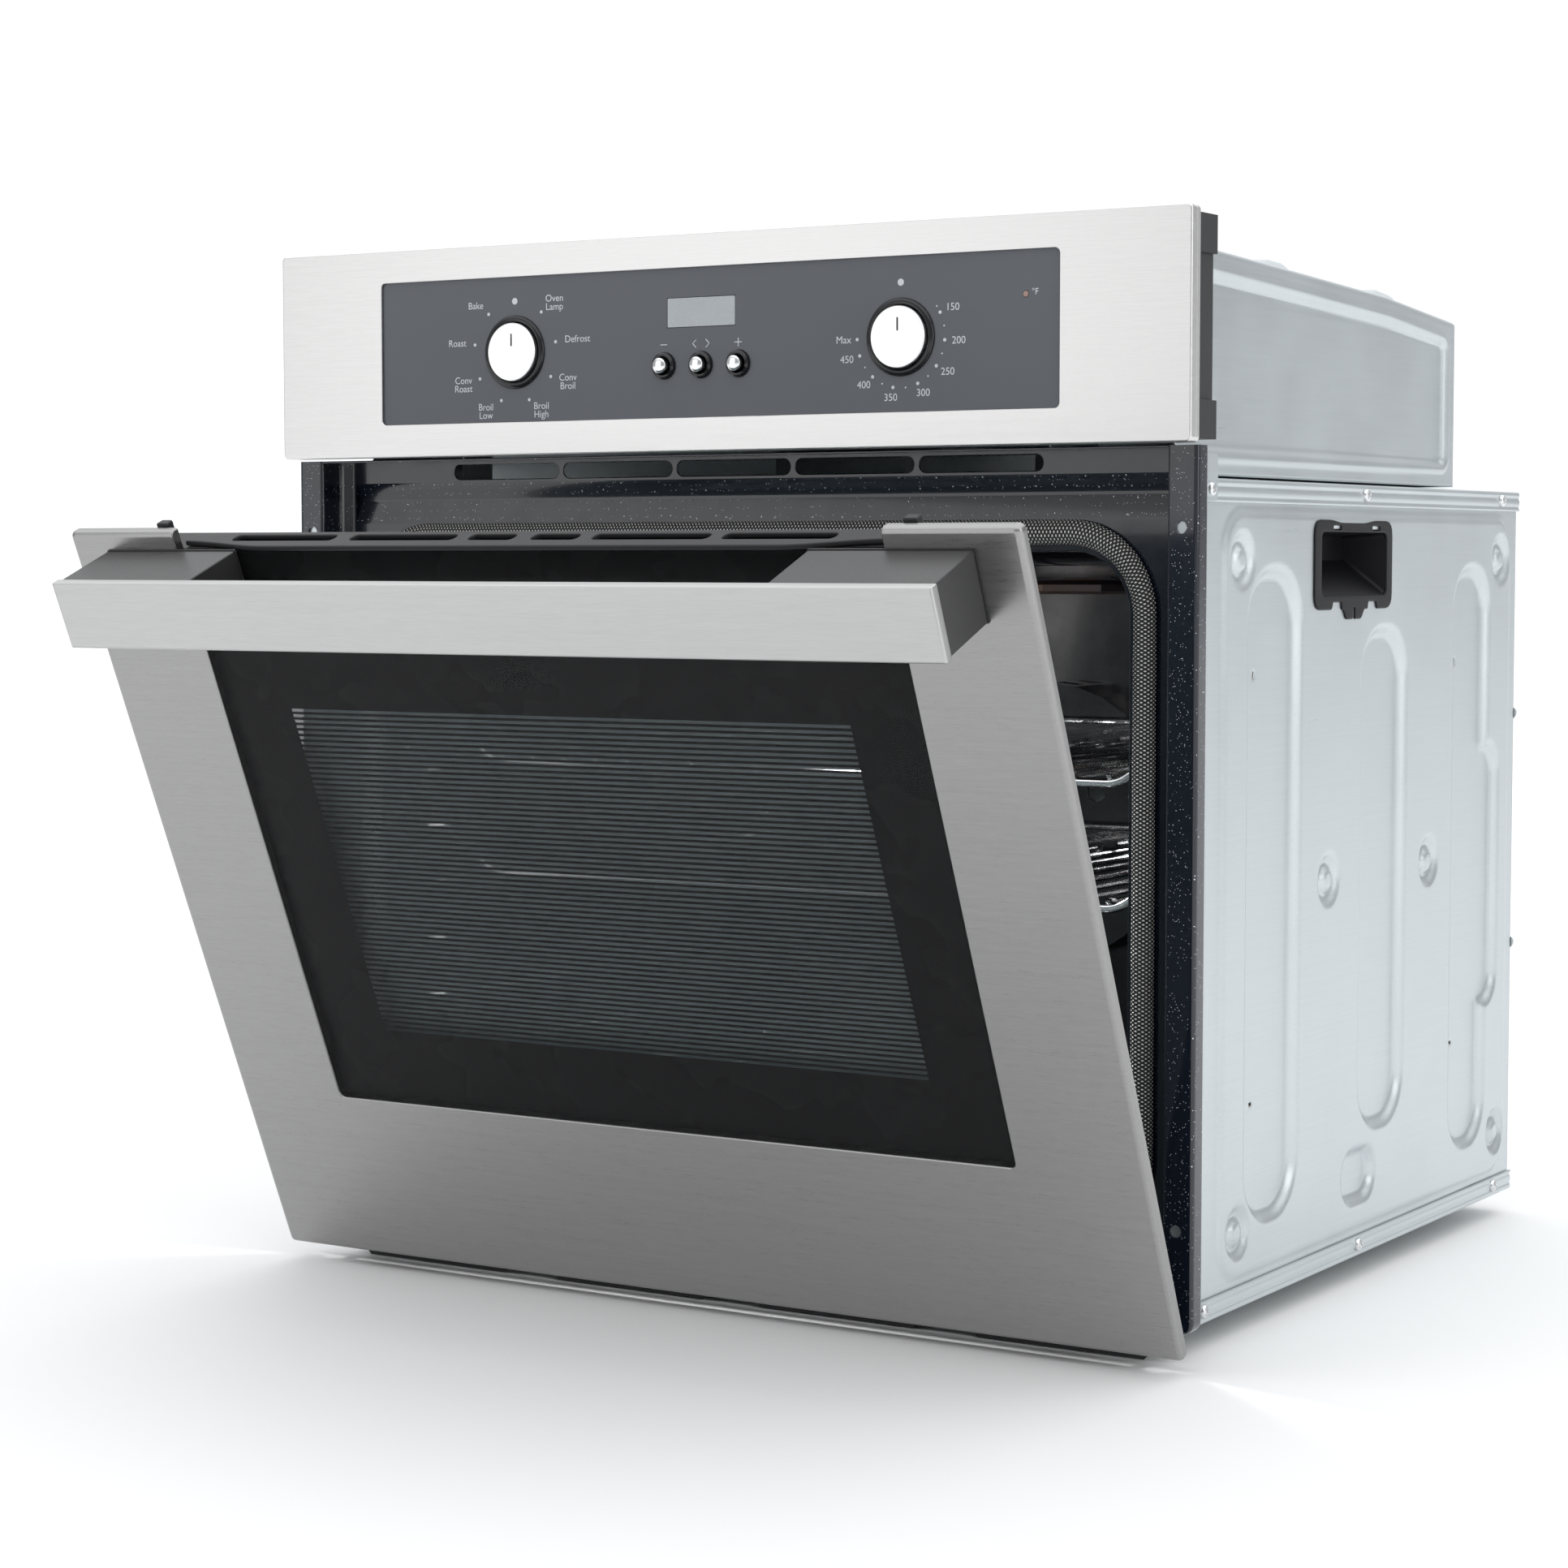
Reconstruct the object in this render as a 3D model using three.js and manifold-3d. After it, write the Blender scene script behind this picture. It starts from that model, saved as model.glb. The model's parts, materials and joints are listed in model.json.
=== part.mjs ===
// Built-in electric wall oven, 60 cm class, with a drop-down door standing ajar.
// Frame: millimetres, +X right as seen from the front, +Y to the rear, +Z up.
// The origin is the middle of the base pan's underside. The pieces are drawn with the control
// fascia's front face at y = 0, and the whole oven is then moved forward by BASE_MIDDLE.

import * as THREE from 'three';
import { mergeVertices } from 'three/addons/utils/BufferGeometryUtils.js';
import Module from 'manifold-3d';

const wasm = await Module();
wasm.setup();

// ---------------------------------------------------------------- driving dimensions

const FRONT_HALF = 297.5; // half width of the fascia and of the door
const SHEET = 1.2; // pressed steel
const GAP = 0.3; // between pieces that touch

const FASCIA_BOTTOM = 467;
const FASCIA_TOP = 587;
const FASCIA_DEPTH = 10;
const PANEL_HALF = 222.5; // control window in the fascia, and glass opening in the door
const PANEL_BOTTOM = 485.8;
const PANEL_TOP = 568.2;
const PANEL_FRONT = 1.6;
const PANEL_BACK = 4.6;

const KNOB_X = 127;
const KNOB_Z = 525.5;
const KNOB_RADIUS = 16.5;
const KNOB_FRONT = -2.5;
const KNOB_BACK = 27.5;
const COLLAR_RADIUS = 18.1;
const SHAFT_RADIUS = 3;
const FLAT_RISE = 2.3; // the shaft's flat above its axis
const BRACKET_FRONT = 42.3;
const BRACKET_TOP = 556;
const BUTTON_PITCH = 24.5;
const BUTTON_Z = 514.7;
const BUTTON_RADIUS = 4.3;
const BUTTON_PLACES = [-BUTTON_PITCH, 0, BUTTON_PITCH];
const BEZEL_RADIUS = 7.4;
const DISPLAY_Z = 543.7;
const LAMP_X = 202;
const LAMP_Z = 545.3;

const FLANGE_HALF = 296; // mounting flange beside the door
const FLANGE_INNER = 278.3;
const FLANGE_FRONT = 12.5;
const FLANGE_BACK = 25;
const RECESS_Y = 34; // plane that carries the gasket and the vent slots
const FRAME_BOTTOM = 6;
const FRAME_TOP = 466;
const VENT_PITCH = 78.9; // five vent slots above the cavity mouth
const VENT_HALF = 37.8;
const VENT_BOTTOM = 454.6;
const VENT_TOP = 463.2;
const GUIDE_HALF = 268; // scalloped air guide below the frame

const BODY_HALF = 278;
const BODY_TOP = 450.5;
const BODY_BACK = 532;
const BASE_FRONT = 38; // front edge of the base pan and of the top plate
const BASE_MIDDLE = (BASE_FRONT + BODY_BACK) / 2;
const STRIP_HEIGHT = 12.5;

const CAVITY_HALF = 247;
const CAVITY_BOTTOM = 58;
const CAVITY_TOP = 412;
const CAVITY_BACK = 444.8;
const CAVITY_RADIUS = 34;
const LINER_TOP = 430; // top of the liner's flange
const WOOL_HALF = 272;
const WOOL_BACK = 468;

const HOUSING_HALF = 268; // upper cover over the controls
const HOUSING_FRONT = 46;
const HOUSING_BACK = 440;

const DOOR_FRONT = -4.7;
const DOOR_BOTTOM = -1.4;
const DOOR_HEIGHT = 465.2;
const DOOR_TOP = DOOR_BOTTOM + DOOR_HEIGHT;
const DOOR_BACK = 27.1;
const DOOR_GLASS_SILL = 109.5; // top of the bottom rail above the door's lower edge
const SKIN_DEPTH = 6;
const PIVOT_Y = 7.1;
const PIVOT_Z = 6.6;
const DOOR_AJAR = THREE.MathUtils.degToRad(23.1);
const HINGE_X = 249;
const PIN_RADIUS = 3;

const HANDLE_HALF = 273;
const HANDLE_LOW = DOOR_BOTTOM + 416.5;
const HANDLE_HIGH = DOOR_BOTTOM + 455;
const HANDLE_REACH = 47;
const HANDLE_THICKNESS = 6;
const POST_INNER = 180.5;
const POST_OUTER = 271.5;

const RACK_HALF = 222;
const RACK_FRONT = 90;
const RACK_BACK = 404;
const RACK_LEVELS = [113.6, 148, 182.3, 216.7, 251, 285.4];
const LOWER_RACK_Z = RACK_LEVELS[3];
const UPPER_RACK_Z = RACK_LEVELS[5];
const RAIL_UPRIGHTS = [89, 178, 268, 358];
const RUNNER_X = 230.5;

const FAN_Z = 235;
const LAMP_PLACE = [-150, 350]; // x and z of the oven lamp
const BROIL_Z = 392;
const BROIL_LEG = 30; // x of the broil element's legs
const BAKE_Z = 36;
const ROD_RADIUS = 3.5;
const BLADES = 8; // of each fan wheel
const BLOWER_Y = 300;
const DUCT_HALF = 196;
const DUCT_TOP = 476;

const GRIP = { y0: 201, y1: 315, z0: 379, z1: 429, radius: 6 };
const GRIP_DEPTH = 25.4; // of the carry grip's pocket, from its flange inward
const TERMINAL = { x0: -252, x1: -178, z0: 378, z1: 432 }; // opening in the rear panel
const GLAND = [-215, 395]; // x and z of the cable gland

const group = new THREE.Group();
const oven = new THREE.Group();
oven.position.y = -BASE_MIDDLE;
group.add(oven);

// ---------------------------------------------------------------- solids and placing

/** Turns a closed geometry into a solid with its faces pointing out. */
function solid(geometry) {
  const bare = new THREE.BufferGeometry();
  bare.setAttribute('position', geometry.getAttribute('position'));
  if (geometry.index) bare.setIndex(geometry.index);
  const merged = mergeVertices(bare, 1e-4);
  const position = merged.getAttribute('position').array;
  const corners = [];
  let volume = 0;
  for (let i = 0; i < merged.index.count; i += 3) {
    const [a, b, c] = merged.index.array.slice(i, i + 3);
    if (a === b || b === c || c === a) continue;
    corners.push(a, b, c);
    const [p, q, r] = [a, b, c].map((n) => new THREE.Vector3().fromArray(position, n * 3));
    volume += p.dot(q.cross(r));
  }
  if (volume < 0) corners.reverse();
  return new wasm.Manifold(new wasm.Mesh({
    numProp: 3,
    vertProperties: new Float32Array(position),
    triVerts: new Uint32Array(corners),
  }));
}

const join = (first, ...others) => others.reduce((whole, part) => whole.add(part), first);
const cut = (first, ...others) => others.reduce((whole, part) => whole.subtract(part), first);

/** A block between two opposite corners. */
function block(x0, x1, y0, y1, z0, z1) {
  const geometry = new THREE.BoxGeometry(x1 - x0, y1 - y0, z1 - z0);
  geometry.translate((x0 + x1) / 2, (y0 + y1) / 2, (z0 + z1) / 2);
  return solid(geometry);
}

/** A block spanning both sides of the middle plane. */
const slab = (half, y0, y1, z0, z1) => block(-half, half, y0, y1, z0, z1);

/** The same body on the other side of the middle plane. */
const mirrored = (body) => body.mirror([1, 0, 0]);

/** Extrudes a shape drawn in x and z from y0 back to y1. */
function alongY(shape, y0, y1, curveSegments = 2) {
  const geometry = new THREE.ExtrudeGeometry(shape, { depth: y1 - y0, bevelEnabled: false, curveSegments });
  geometry.rotateX(Math.PI / 2);
  geometry.translate(0, y1, 0);
  return solid(geometry);
}

/** Extrudes a shape drawn in y and z from x0 to x1. */
function alongX(shape, x0, x1, curveSegments = 2) {
  const geometry = new THREE.ExtrudeGeometry(shape, { depth: x1 - x0, bevelEnabled: false, curveSegments });
  const turn = new THREE.Matrix4().makeBasis(
    new THREE.Vector3(0, 1, 0), new THREE.Vector3(0, 0, 1), new THREE.Vector3(1, 0, 0));
  geometry.applyMatrix4(turn);
  geometry.translate(x0, 0, 0);
  return solid(geometry);
}

/** Extrudes a shape drawn in x and y from z0 up to z1. */
function alongZ(shape, z0, z1, curveSegments = 2) {
  const geometry = new THREE.ExtrudeGeometry(shape, { depth: z1 - z0, bevelEnabled: false, curveSegments });
  geometry.translate(0, 0, z0);
  return solid(geometry);
}

/** A rectangle with round corners. */
function roundRect(x0, x1, z0, z1, radius) {
  const shape = new THREE.Shape();
  shape.moveTo(x0 + radius, z0);
  shape.absarc(x1 - radius, z0 + radius, radius, -Math.PI / 2, 0);
  shape.absarc(x1 - radius, z1 - radius, radius, 0, Math.PI / 2);
  shape.absarc(x0 + radius, z1 - radius, radius, Math.PI / 2, Math.PI);
  shape.absarc(x0 + radius, z0 + radius, radius, Math.PI, 1.5 * Math.PI);
  return shape;
}

/** The cavity mouth's outline, grown by a margin. */
const cavityOutline = (grow) => roundRect(-CAVITY_HALF - grow, CAVITY_HALF + grow,
  CAVITY_BOTTOM - grow, CAVITY_TOP + grow, CAVITY_RADIUS + grow);

/** A closed outline through corner points. */
const outline = (points) => new THREE.Shape(points.map(([x, y]) => new THREE.Vector2(x, y)));

/** A round bar along Y, X or Z. */
function rodY(x, z, radius, y0, y1, sides = 16) {
  const geometry = new THREE.CylinderGeometry(radius, radius, y1 - y0, sides);
  geometry.translate(x, (y0 + y1) / 2, z);
  return solid(geometry);
}

function rodX(y, z, radius, x0, x1, sides = 16) {
  const geometry = new THREE.CylinderGeometry(radius, radius, x1 - x0, sides);
  geometry.rotateZ(Math.PI / 2);
  geometry.translate((x0 + x1) / 2, y, z);
  return solid(geometry);
}

function rodZ(x, y, radius, z0, z1, sides = 16) {
  const geometry = new THREE.CylinderGeometry(radius, radius, z1 - z0, sides);
  geometry.rotateX(Math.PI / 2);
  geometry.translate(x, y, (z0 + z1) / 2);
  return solid(geometry);
}

/** A wire of round section through points. */
function wire(points, radius, steps) {
  const path = new THREE.CatmullRomCurve3(points.map((p) => new THREE.Vector3(...p)), false, 'centripetal');
  const section = new THREE.Shape();
  section.absarc(0, 0, radius, 0, 2 * Math.PI);
  const geometry = new THREE.ExtrudeGeometry(section, { extrudePath: path, steps, curveSegments: 3 });
  return solid(geometry);
}

/** Adds a named piece with a finish of its own to a parent. */
function piece(name, body, color, roughness, metalness, parent = oven) {
  const { vertProperties, triVerts } = body.getMesh();
  const geometry = new THREE.BufferGeometry();
  geometry.setAttribute('position', new THREE.BufferAttribute(vertProperties, 3));
  geometry.setIndex(new THREE.BufferAttribute(triVerts, 1));
  geometry.computeVertexNormals();
  const mesh = new THREE.Mesh(geometry, new THREE.MeshStandardMaterial({ color, roughness, metalness }));
  mesh.name = name;
  parent.add(mesh);
}

const STAINLESS = [0xb9b7b4, 0.35, 1];
const SATIN_GREY = [0x54575c, 0.5, 0.1];
const BLACK_PLASTIC = [0x1d1d1f, 0.5, 0];
const ENAMEL = [0x12151c, 0.15, 0.1];
const GALVANISED = [0xc2c9cd, 0.45, 0.7];
const CHROME = [0xd9dcde, 0.15, 1];
const GLASS = [0x1b1c1d, 0.05, 0];
const COPPER_TONE = [0x9a6a4a, 0.5, 0.6];

// ---------------------------------------------------------------- control panel

function controlFascia() {
  const skin = alongY(roundRect(-FRONT_HALF, FRONT_HALF, FASCIA_BOTTOM, FASCIA_TOP, 3), 0, FASCIA_DEPTH);
  const hollow = slab(FRONT_HALF - 1, 1, FASCIA_DEPTH + 1, FASCIA_BOTTOM + 1, FASCIA_TOP - 1);
  const opening = alongY(roundRect(-PANEL_HALF, PANEL_HALF, PANEL_BOTTOM, PANEL_TOP, 3), -1, 2);
  piece('control_fascia', cut(skin, hollow, opening), ...STAINLESS);
}

function fasciaCarrier() {
  const wall = 2.5;
  const lugHeight = 20;
  const front = 1.3;
  const floor = 8; // front face of the hollow behind
  const outer = 292;
  const back = 42;
  const bottom = FASCIA_BOTTOM + 2.5;
  const top = FASCIA_TOP - 2.5;
  const whole = slab(outer, front, back, bottom, top);
  const waist = block(outer - wall, outer + 1, FASCIA_DEPTH + 1, back + 1, bottom + lugHeight, top - lugHeight);
  const hollow = slab(outer - 2 * wall, floor, back + 1, bottom + wall, top - wall);
  const seat = 1.5; // the panel's seat is wider than its window
  const panelSeat = slab(PANEL_HALF + seat, 0, PANEL_BACK + GAP, PANEL_BOTTOM - seat, PANEL_TOP + seat);
  const ledge = 7;
  const through = slab(PANEL_HALF - ledge, 0, floor + 1, PANEL_BOTTOM + ledge, PANEL_TOP - ledge);
  piece('fascia_carrier', cut(whole, waist, mirrored(waist), hollow, panelSeat, through), ...BLACK_PLASTIC);
}

function controlPanel() {
  const margin = 1.2;
  const front = 0;
  const back = PANEL_BACK + 1.4;
  const windowHalf = 22.2;
  const windowRise = 8;
  const lensRadius = 1.6;
  const plate = slab(PANEL_HALF + margin, PANEL_FRONT, PANEL_BACK, PANEL_BOTTOM - margin, PANEL_TOP + margin);
  const knobBores = [-KNOB_X, KNOB_X].map((x) => rodY(x, KNOB_Z, COLLAR_RADIUS + GAP, front, back, 24));
  const buttonBores = BUTTON_PLACES.map((x) => rodY(x, BUTTON_Z, BEZEL_RADIUS + GAP, front, back, 18));
  const displayHole = slab(windowHalf + GAP, front, back,
    DISPLAY_Z - windowRise - GAP, DISPLAY_Z + windowRise + GAP);
  const lampHole = rodY(LAMP_X, LAMP_Z, lensRadius + GAP, front, back, 10);
  piece('control_panel', cut(plate, ...knobBores, ...buttonBores, displayHole, lampHole), ...SATIN_GREY);
  const pane = slab(windowHalf, PANEL_FRONT, PANEL_BACK, DISPLAY_Z - windowRise, DISPLAY_Z + windowRise);
  piece('display_window', pane, 0xb7bdc1, 0.2, 0);
  piece('heating_lamp_lens', rodY(LAMP_X, LAMP_Z, lensRadius, PANEL_FRONT - 0.2, 9, 10), 0x8a6a62, 0.2, 0);
}

/** The dark ring that a pop-out knob slides in. */
function knobCollar(name, x) {
  const bore = KNOB_RADIUS + 0.7;
  const rim = 20.5;
  const seat = PANEL_FRONT - GAP;
  const back = 24;
  const profile = [[bore, 0], [rim, 0], [rim, seat], [COLLAR_RADIUS, seat], [COLLAR_RADIUS, back], [bore, back],
    [bore, 0]];
  const geometry = new THREE.LatheGeometry(profile.map(([r, y]) => new THREE.Vector2(r, y)), 28);
  geometry.translate(x, 0, KNOB_Z);
  piece(name, solid(geometry), ...BLACK_PLASTIC);
}

/** A shaft with a flat on top, standing in its switch. */
function knobShaft(name, x) {
  const front = 2;
  const back = 52;
  const flatBack = 40;
  const wide = SHAFT_RADIUS + 1;
  const flat = block(x - wide, x + wide, front - 3, flatBack, KNOB_Z + FLAT_RISE, KNOB_Z + wide);
  piece(name, cut(rodY(x, KNOB_Z, SHAFT_RADIUS, front, back), flat), 0xd0d0d0, 0.4, 0.8);
}

function popOutKnob(name, x) {
  const cap = rodY(x, KNOB_Z, KNOB_RADIUS, KNOB_FRONT, KNOB_BACK, 32);
  const wide = SHAFT_RADIUS + 1;
  const bore = rodY(x, KNOB_Z, SHAFT_RADIUS + GAP, 1.7, KNOB_BACK + 1);
  const key = block(x - wide, x + wide, 1, KNOB_BACK + 2, KNOB_Z + FLAT_RISE + GAP, KNOB_Z + wide + 1);
  piece(name, cut(cap, cut(bore, key)), ...CHROME);
}

/** A rotary switch or thermostat behind the bracket, bored for the knob's shaft. */
function rotaryUnit(name, x, half, back) {
  const front = 44;
  const boreDepth = 10;
  const tabHalf = 3;
  const tabReach = 9;
  const body = block(x - half, x + half, front, back, KNOB_Z - half, KNOB_Z + half);
  const tabs = [x - 12, x, x + 12].map((place) => block(
    place - tabHalf, place + tabHalf, back - 1, back + tabReach, KNOB_Z, KNOB_Z + 1));
  const bore = rodY(x, KNOB_Z, SHAFT_RADIUS + 0.5, front - 1, front + boreDepth);
  piece(name, cut(join(body, ...tabs), bore), 0xd8d2c4, 0.6, 0);
}

function buttonsAndTimer() {
  const bezelBack = 7;
  const rings = BUTTON_PLACES.map((x) => rodY(x, BUTTON_Z, BEZEL_RADIUS, 0, bezelBack, 18));
  const stripRise = 8.5;
  const strip = slab(34, bezelBack - 2, bezelBack, BUTTON_Z - stripRise, BUTTON_Z + stripRise);
  const bores = BUTTON_PLACES.map((x) => rodY(x, BUTTON_Z, BUTTON_RADIUS + 0.4, -1, bezelBack + 1));
  piece('button_bezel', cut(join(...rings, strip), ...bores), ...BLACK_PLASTIC);

  const capFront = -5;
  const capBack = 10;
  const stemRadius = 2;
  const stemBack = 25;
  ['minus', 'select', 'plus'].forEach((word, index) => {
    const x = BUTTON_PLACES[index];
    const cap = rodY(x, BUTTON_Z, BUTTON_RADIUS, capFront, capBack);
    const stem = rodY(x, BUTTON_Z, stemRadius, capBack - 1, stemBack, 8);
    piece(`${word}_button`, join(cap, stem), ...CHROME);
  });

  const boardFront = 30;
  const board = slab(42, boardFront, boardFront + 1.6, 503, BRACKET_TOP);
  const displayRise = 7.5;
  const partBack = boardFront + 0.5;
  const display = slab(21, PANEL_BACK + 0.4, partBack, DISPLAY_Z - displayRise, DISPLAY_Z + displayRise);
  const switchHalf = 3;
  const switches = BUTTON_PLACES.map((x) => block(
    x - switchHalf, x + switchHalf, stemBack + 2, partBack, BUTTON_Z - switchHalf, BUTTON_Z + switchHalf));
  piece('timer_board', join(board, display, ...switches), 0x1f4a33, 0.6, 0);
}

function controlBracket() {
  const back = BRACKET_FRONT + SHEET;
  const span = [BRACKET_FRONT - GAP, back + 0.5];
  const plate = slab(286, BRACKET_FRONT, back, 495, BRACKET_TOP);
  const holes = [-KNOB_X, KNOB_X].map((x) => rodY(x, KNOB_Z, SHAFT_RADIUS + 2, ...span, 12));
  const windowHalf = 30;
  const windows = [-205, 0, 205].map((x) => block(x - windowHalf, x + windowHalf, ...span, 510, 540));
  piece('control_bracket', cut(plate, ...holes, ...windows), ...GALVANISED);
}

// ---------------------------------------------------------------- front frame and gasket

function frontFrame() {
  const bend = 3;
  const screwX = 286.3;
  const screwHoles = [60, 424].map((z) => rodY(screwX, z, 3.2, FLANGE_FRONT - 0.5, FLANGE_BACK + 1, 14));
  const section = new THREE.Shape();
  section.moveTo(FLANGE_INNER, FLANGE_BACK);
  section.lineTo(FLANGE_INNER, FLANGE_FRONT);
  section.absarc(FLANGE_HALF - bend, FLANGE_FRONT + bend, bend, -Math.PI / 2, 0);
  section.lineTo(FLANGE_HALF, FLANGE_BACK);
  const hollow = block(FLANGE_INNER + SHEET, FLANGE_HALF - SHEET, FLANGE_FRONT + SHEET,
    FLANGE_BACK - SHEET, FRAME_BOTTOM - 1, FRAME_TOP + 1);
  const channel = cut(alongZ(section, FRAME_BOTTOM, FRAME_TOP), hollow, ...screwHoles);
  const step = block(FLANGE_INNER, FLANGE_INNER + SHEET, FLANGE_FRONT + 1, RECESS_Y + SHEET,
    FRAME_BOTTOM, FRAME_TOP);
  const recess = slab(FLANGE_INNER + 1, RECESS_Y, RECESS_Y + SHEET, FRAME_BOTTOM, FRAME_TOP);
  const header = slab(FLANGE_INNER + 1, FLANGE_FRONT, RECESS_Y + 1, FRAME_TOP - SHEET, FRAME_TOP);
  const through = [RECESS_Y - 1, RECESS_Y + 3];
  const opening = alongY(cavityOutline(0), ...through, 3);
  const slots = [-2, -1, 0, 1, 2].map((n) => n * VENT_PITCH).map((x) => alongY(
    roundRect(x - VENT_HALF, x + VENT_HALF, VENT_BOTTOM, VENT_TOP, 4.2), ...through));
  const hingeSlots = [-HINGE_X, HINGE_X].map((x) => block(x - 3.5, x + 3.5, ...through, 17, 37));
  const pressed = join(recess, header, channel, mirrored(channel), step, mirrored(step));
  piece('front_frame', cut(pressed, opening, ...slots, ...hingeSlots), ...ENAMEL);
}

function doorGasket() {
  const rope = 13;
  const reach = 3.5;
  const front = DOOR_BACK + 0.5;
  const shoulder = 3;
  const ring = (grow, y0, y1) => alongY(cavityOutline(grow), y0, y1, 3);
  const back = RECESS_Y - GAP;
  const wide = cut(ring(reach + rope, front + 2.5, back), ring(reach, front, back + 1));
  const crown = cut(ring(reach + rope - shoulder, front, back), ring(reach + shoulder, front - 1, back + 1));
  piece('door_gasket', join(wide, crown), 0x6f6f6c, 0.8, 0.2);
}

/** Scalloped air guide that hangs below the frame. */
function bottomVentTrim() {
  const low = -14;
  const high = 5.2;
  const notch = -4;
  const scallopPitch = 140;
  const lowHalf = 50;
  const wideHalf = 60;
  const front = 30;
  const back = 60;
  const points = [[-GUIDE_HALF, high], [-GUIDE_HALF, notch]];
  for (let n = 0; n < 4; n += 1) {
    const middle = (n - 1.5) * scallopPitch;
    points.push([middle - wideHalf, notch], [middle - lowHalf, low], [middle + lowHalf, low],
      [middle + wideHalf, notch]);
  }
  points.push([GUIDE_HALF, notch], [GUIDE_HALF, high]);
  const blade = alongY(outline(points), front, front + SHEET);
  piece('bottom_vent_trim', join(blade, slab(GUIDE_HALF, front, back, high - SHEET, high)), ...BLACK_PLASTIC);
}

// ---------------------------------------------------------------- body

/** The carry-grip pocket's outline in a side panel, grown by a margin. */
const gripOutline = (grow) => roundRect(
  GRIP.y0 - grow, GRIP.y1 + grow, GRIP.z0 - grow, GRIP.z1 + grow, GRIP.radius);

function sidePanel(name, side) {
  const outer = BODY_HALF - SHEET - GAP;
  const plate = block(outer - SHEET, outer, RECESS_Y + 2, BODY_BACK - SHEET - 0.6, 2, BODY_TOP - 1.6);
  const right = cut(plate, alongX(gripOutline(-3), outer - 3, outer + 1));
  piece(name, side > 0 ? right : mirrored(right), ...GALVANISED);
}

/** A moulded pocket for lifting the oven by the side. */
function carryGrip(name, side) {
  const outer = BODY_HALF + 0.4;
  const inner = outer - 1.6;
  const deep = outer - GRIP_DEPTH;
  const frameWidth = 7;
  const wall = 3;
  const middle = (GRIP.y0 + GRIP.y1) / 2 - 2;
  const flange = alongX(gripOutline(0), inner, outer);
  const cup = alongX(gripOutline(wall - frameWidth), deep, outer - 0.9);
  const pocket = alongX(gripOutline(-frameWidth), deep + 2, outer + 1.6);
  const tongue = block(inner, outer, middle - 6, middle + 6, GRIP.z0 - 6.5, GRIP.z0 + 1);
  const right = cut(join(flange, cup, tongue), pocket);
  piece(name, side > 0 ? right : mirrored(right), ...BLACK_PLASTIC);
}

/** A tray of sheet steel with both long sides folded, its floor at z0 and its rims at z1. */
function foldedTray(z0, z1) {
  const fold = z0 + Math.sign(z1 - z0) * SHEET;
  const inner = BODY_HALF - SHEET;
  const section = outline([[-BODY_HALF, z0], [BODY_HALF, z0], [BODY_HALF, z1], [inner, z1], [inner, fold],
    [-inner, fold], [-inner, z1], [-BODY_HALF, z1]]);
  return alongY(section, BASE_FRONT, BODY_BACK);
}

function basePan() {
  const ventY = 475;
  const ventRadius = 14;
  const vents = [-90, 0, 90].map((x) => rodZ(x, ventY, ventRadius, -1, SHEET + 0.8, 12));
  piece('base_pan', cut(foldedTray(0, STRIP_HEIGHT), ...vents), ...GALVANISED);
}

function topPlate() {
  const wiringHole = rodZ(-200, 400, 15, BODY_TOP - 3, BODY_TOP + 3);
  piece('top_plate', cut(foldedTray(BODY_TOP, BODY_TOP - STRIP_HEIGHT), wiringHole), ...GALVANISED);
}

function rearPanel() {
  const plate = slab(275, BODY_BACK - SHEET, BODY_BACK, 1.5, BODY_TOP - 1.5);
  const through = [BODY_BACK - 3, BODY_BACK + 1];
  const louvreHalf = 38;
  const louvreHeight = 6;
  const louvres = [];
  for (let row = 0; row < 6; row += 1) {
    const z = 180 + row * 20;
    for (const x of [-45, 45]) {
      louvres.push(block(x - louvreHalf, x + louvreHalf, ...through, z, z + louvreHeight));
    }
  }
  const terminalHole = block(TERMINAL.x0, TERMINAL.x1, ...through, TERMINAL.z0, TERMINAL.z1);
  piece('rear_panel', cut(plate, ...louvres, terminalHole), ...GALVANISED);
}

/** Mains terminal box, sunk into the rear panel, with its moulded cable gland. */
function terminalBox() {
  const slack = 0.5;
  const front = 500;
  const glandBack = 546;
  const box = block(TERMINAL.x0 + slack, TERMINAL.x1 - slack, front, BODY_BACK + slack,
    TERMINAL.z0 + slack, TERMINAL.z1 - slack);
  const profile = [[0, 520], [8, 520], [11, BODY_BACK], [11, 537], [7, glandBack], [0, glandBack]];
  const gland = new THREE.LatheGeometry(profile.map(([r, y]) => new THREE.Vector2(r, y)), 16);
  gland.translate(GLAND[0], 0, GLAND[1]);
  const cableBore = rodY(...GLAND, 4.5, front + 10, glandBack + 1, 12);
  const wireHole = rodY(...GLAND, 5, front - 1, front + 11, 12);
  piece('terminal_box', cut(join(box, solid(gland)), cableBore, wireHole), ...BLACK_PLASTIC);
}

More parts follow.
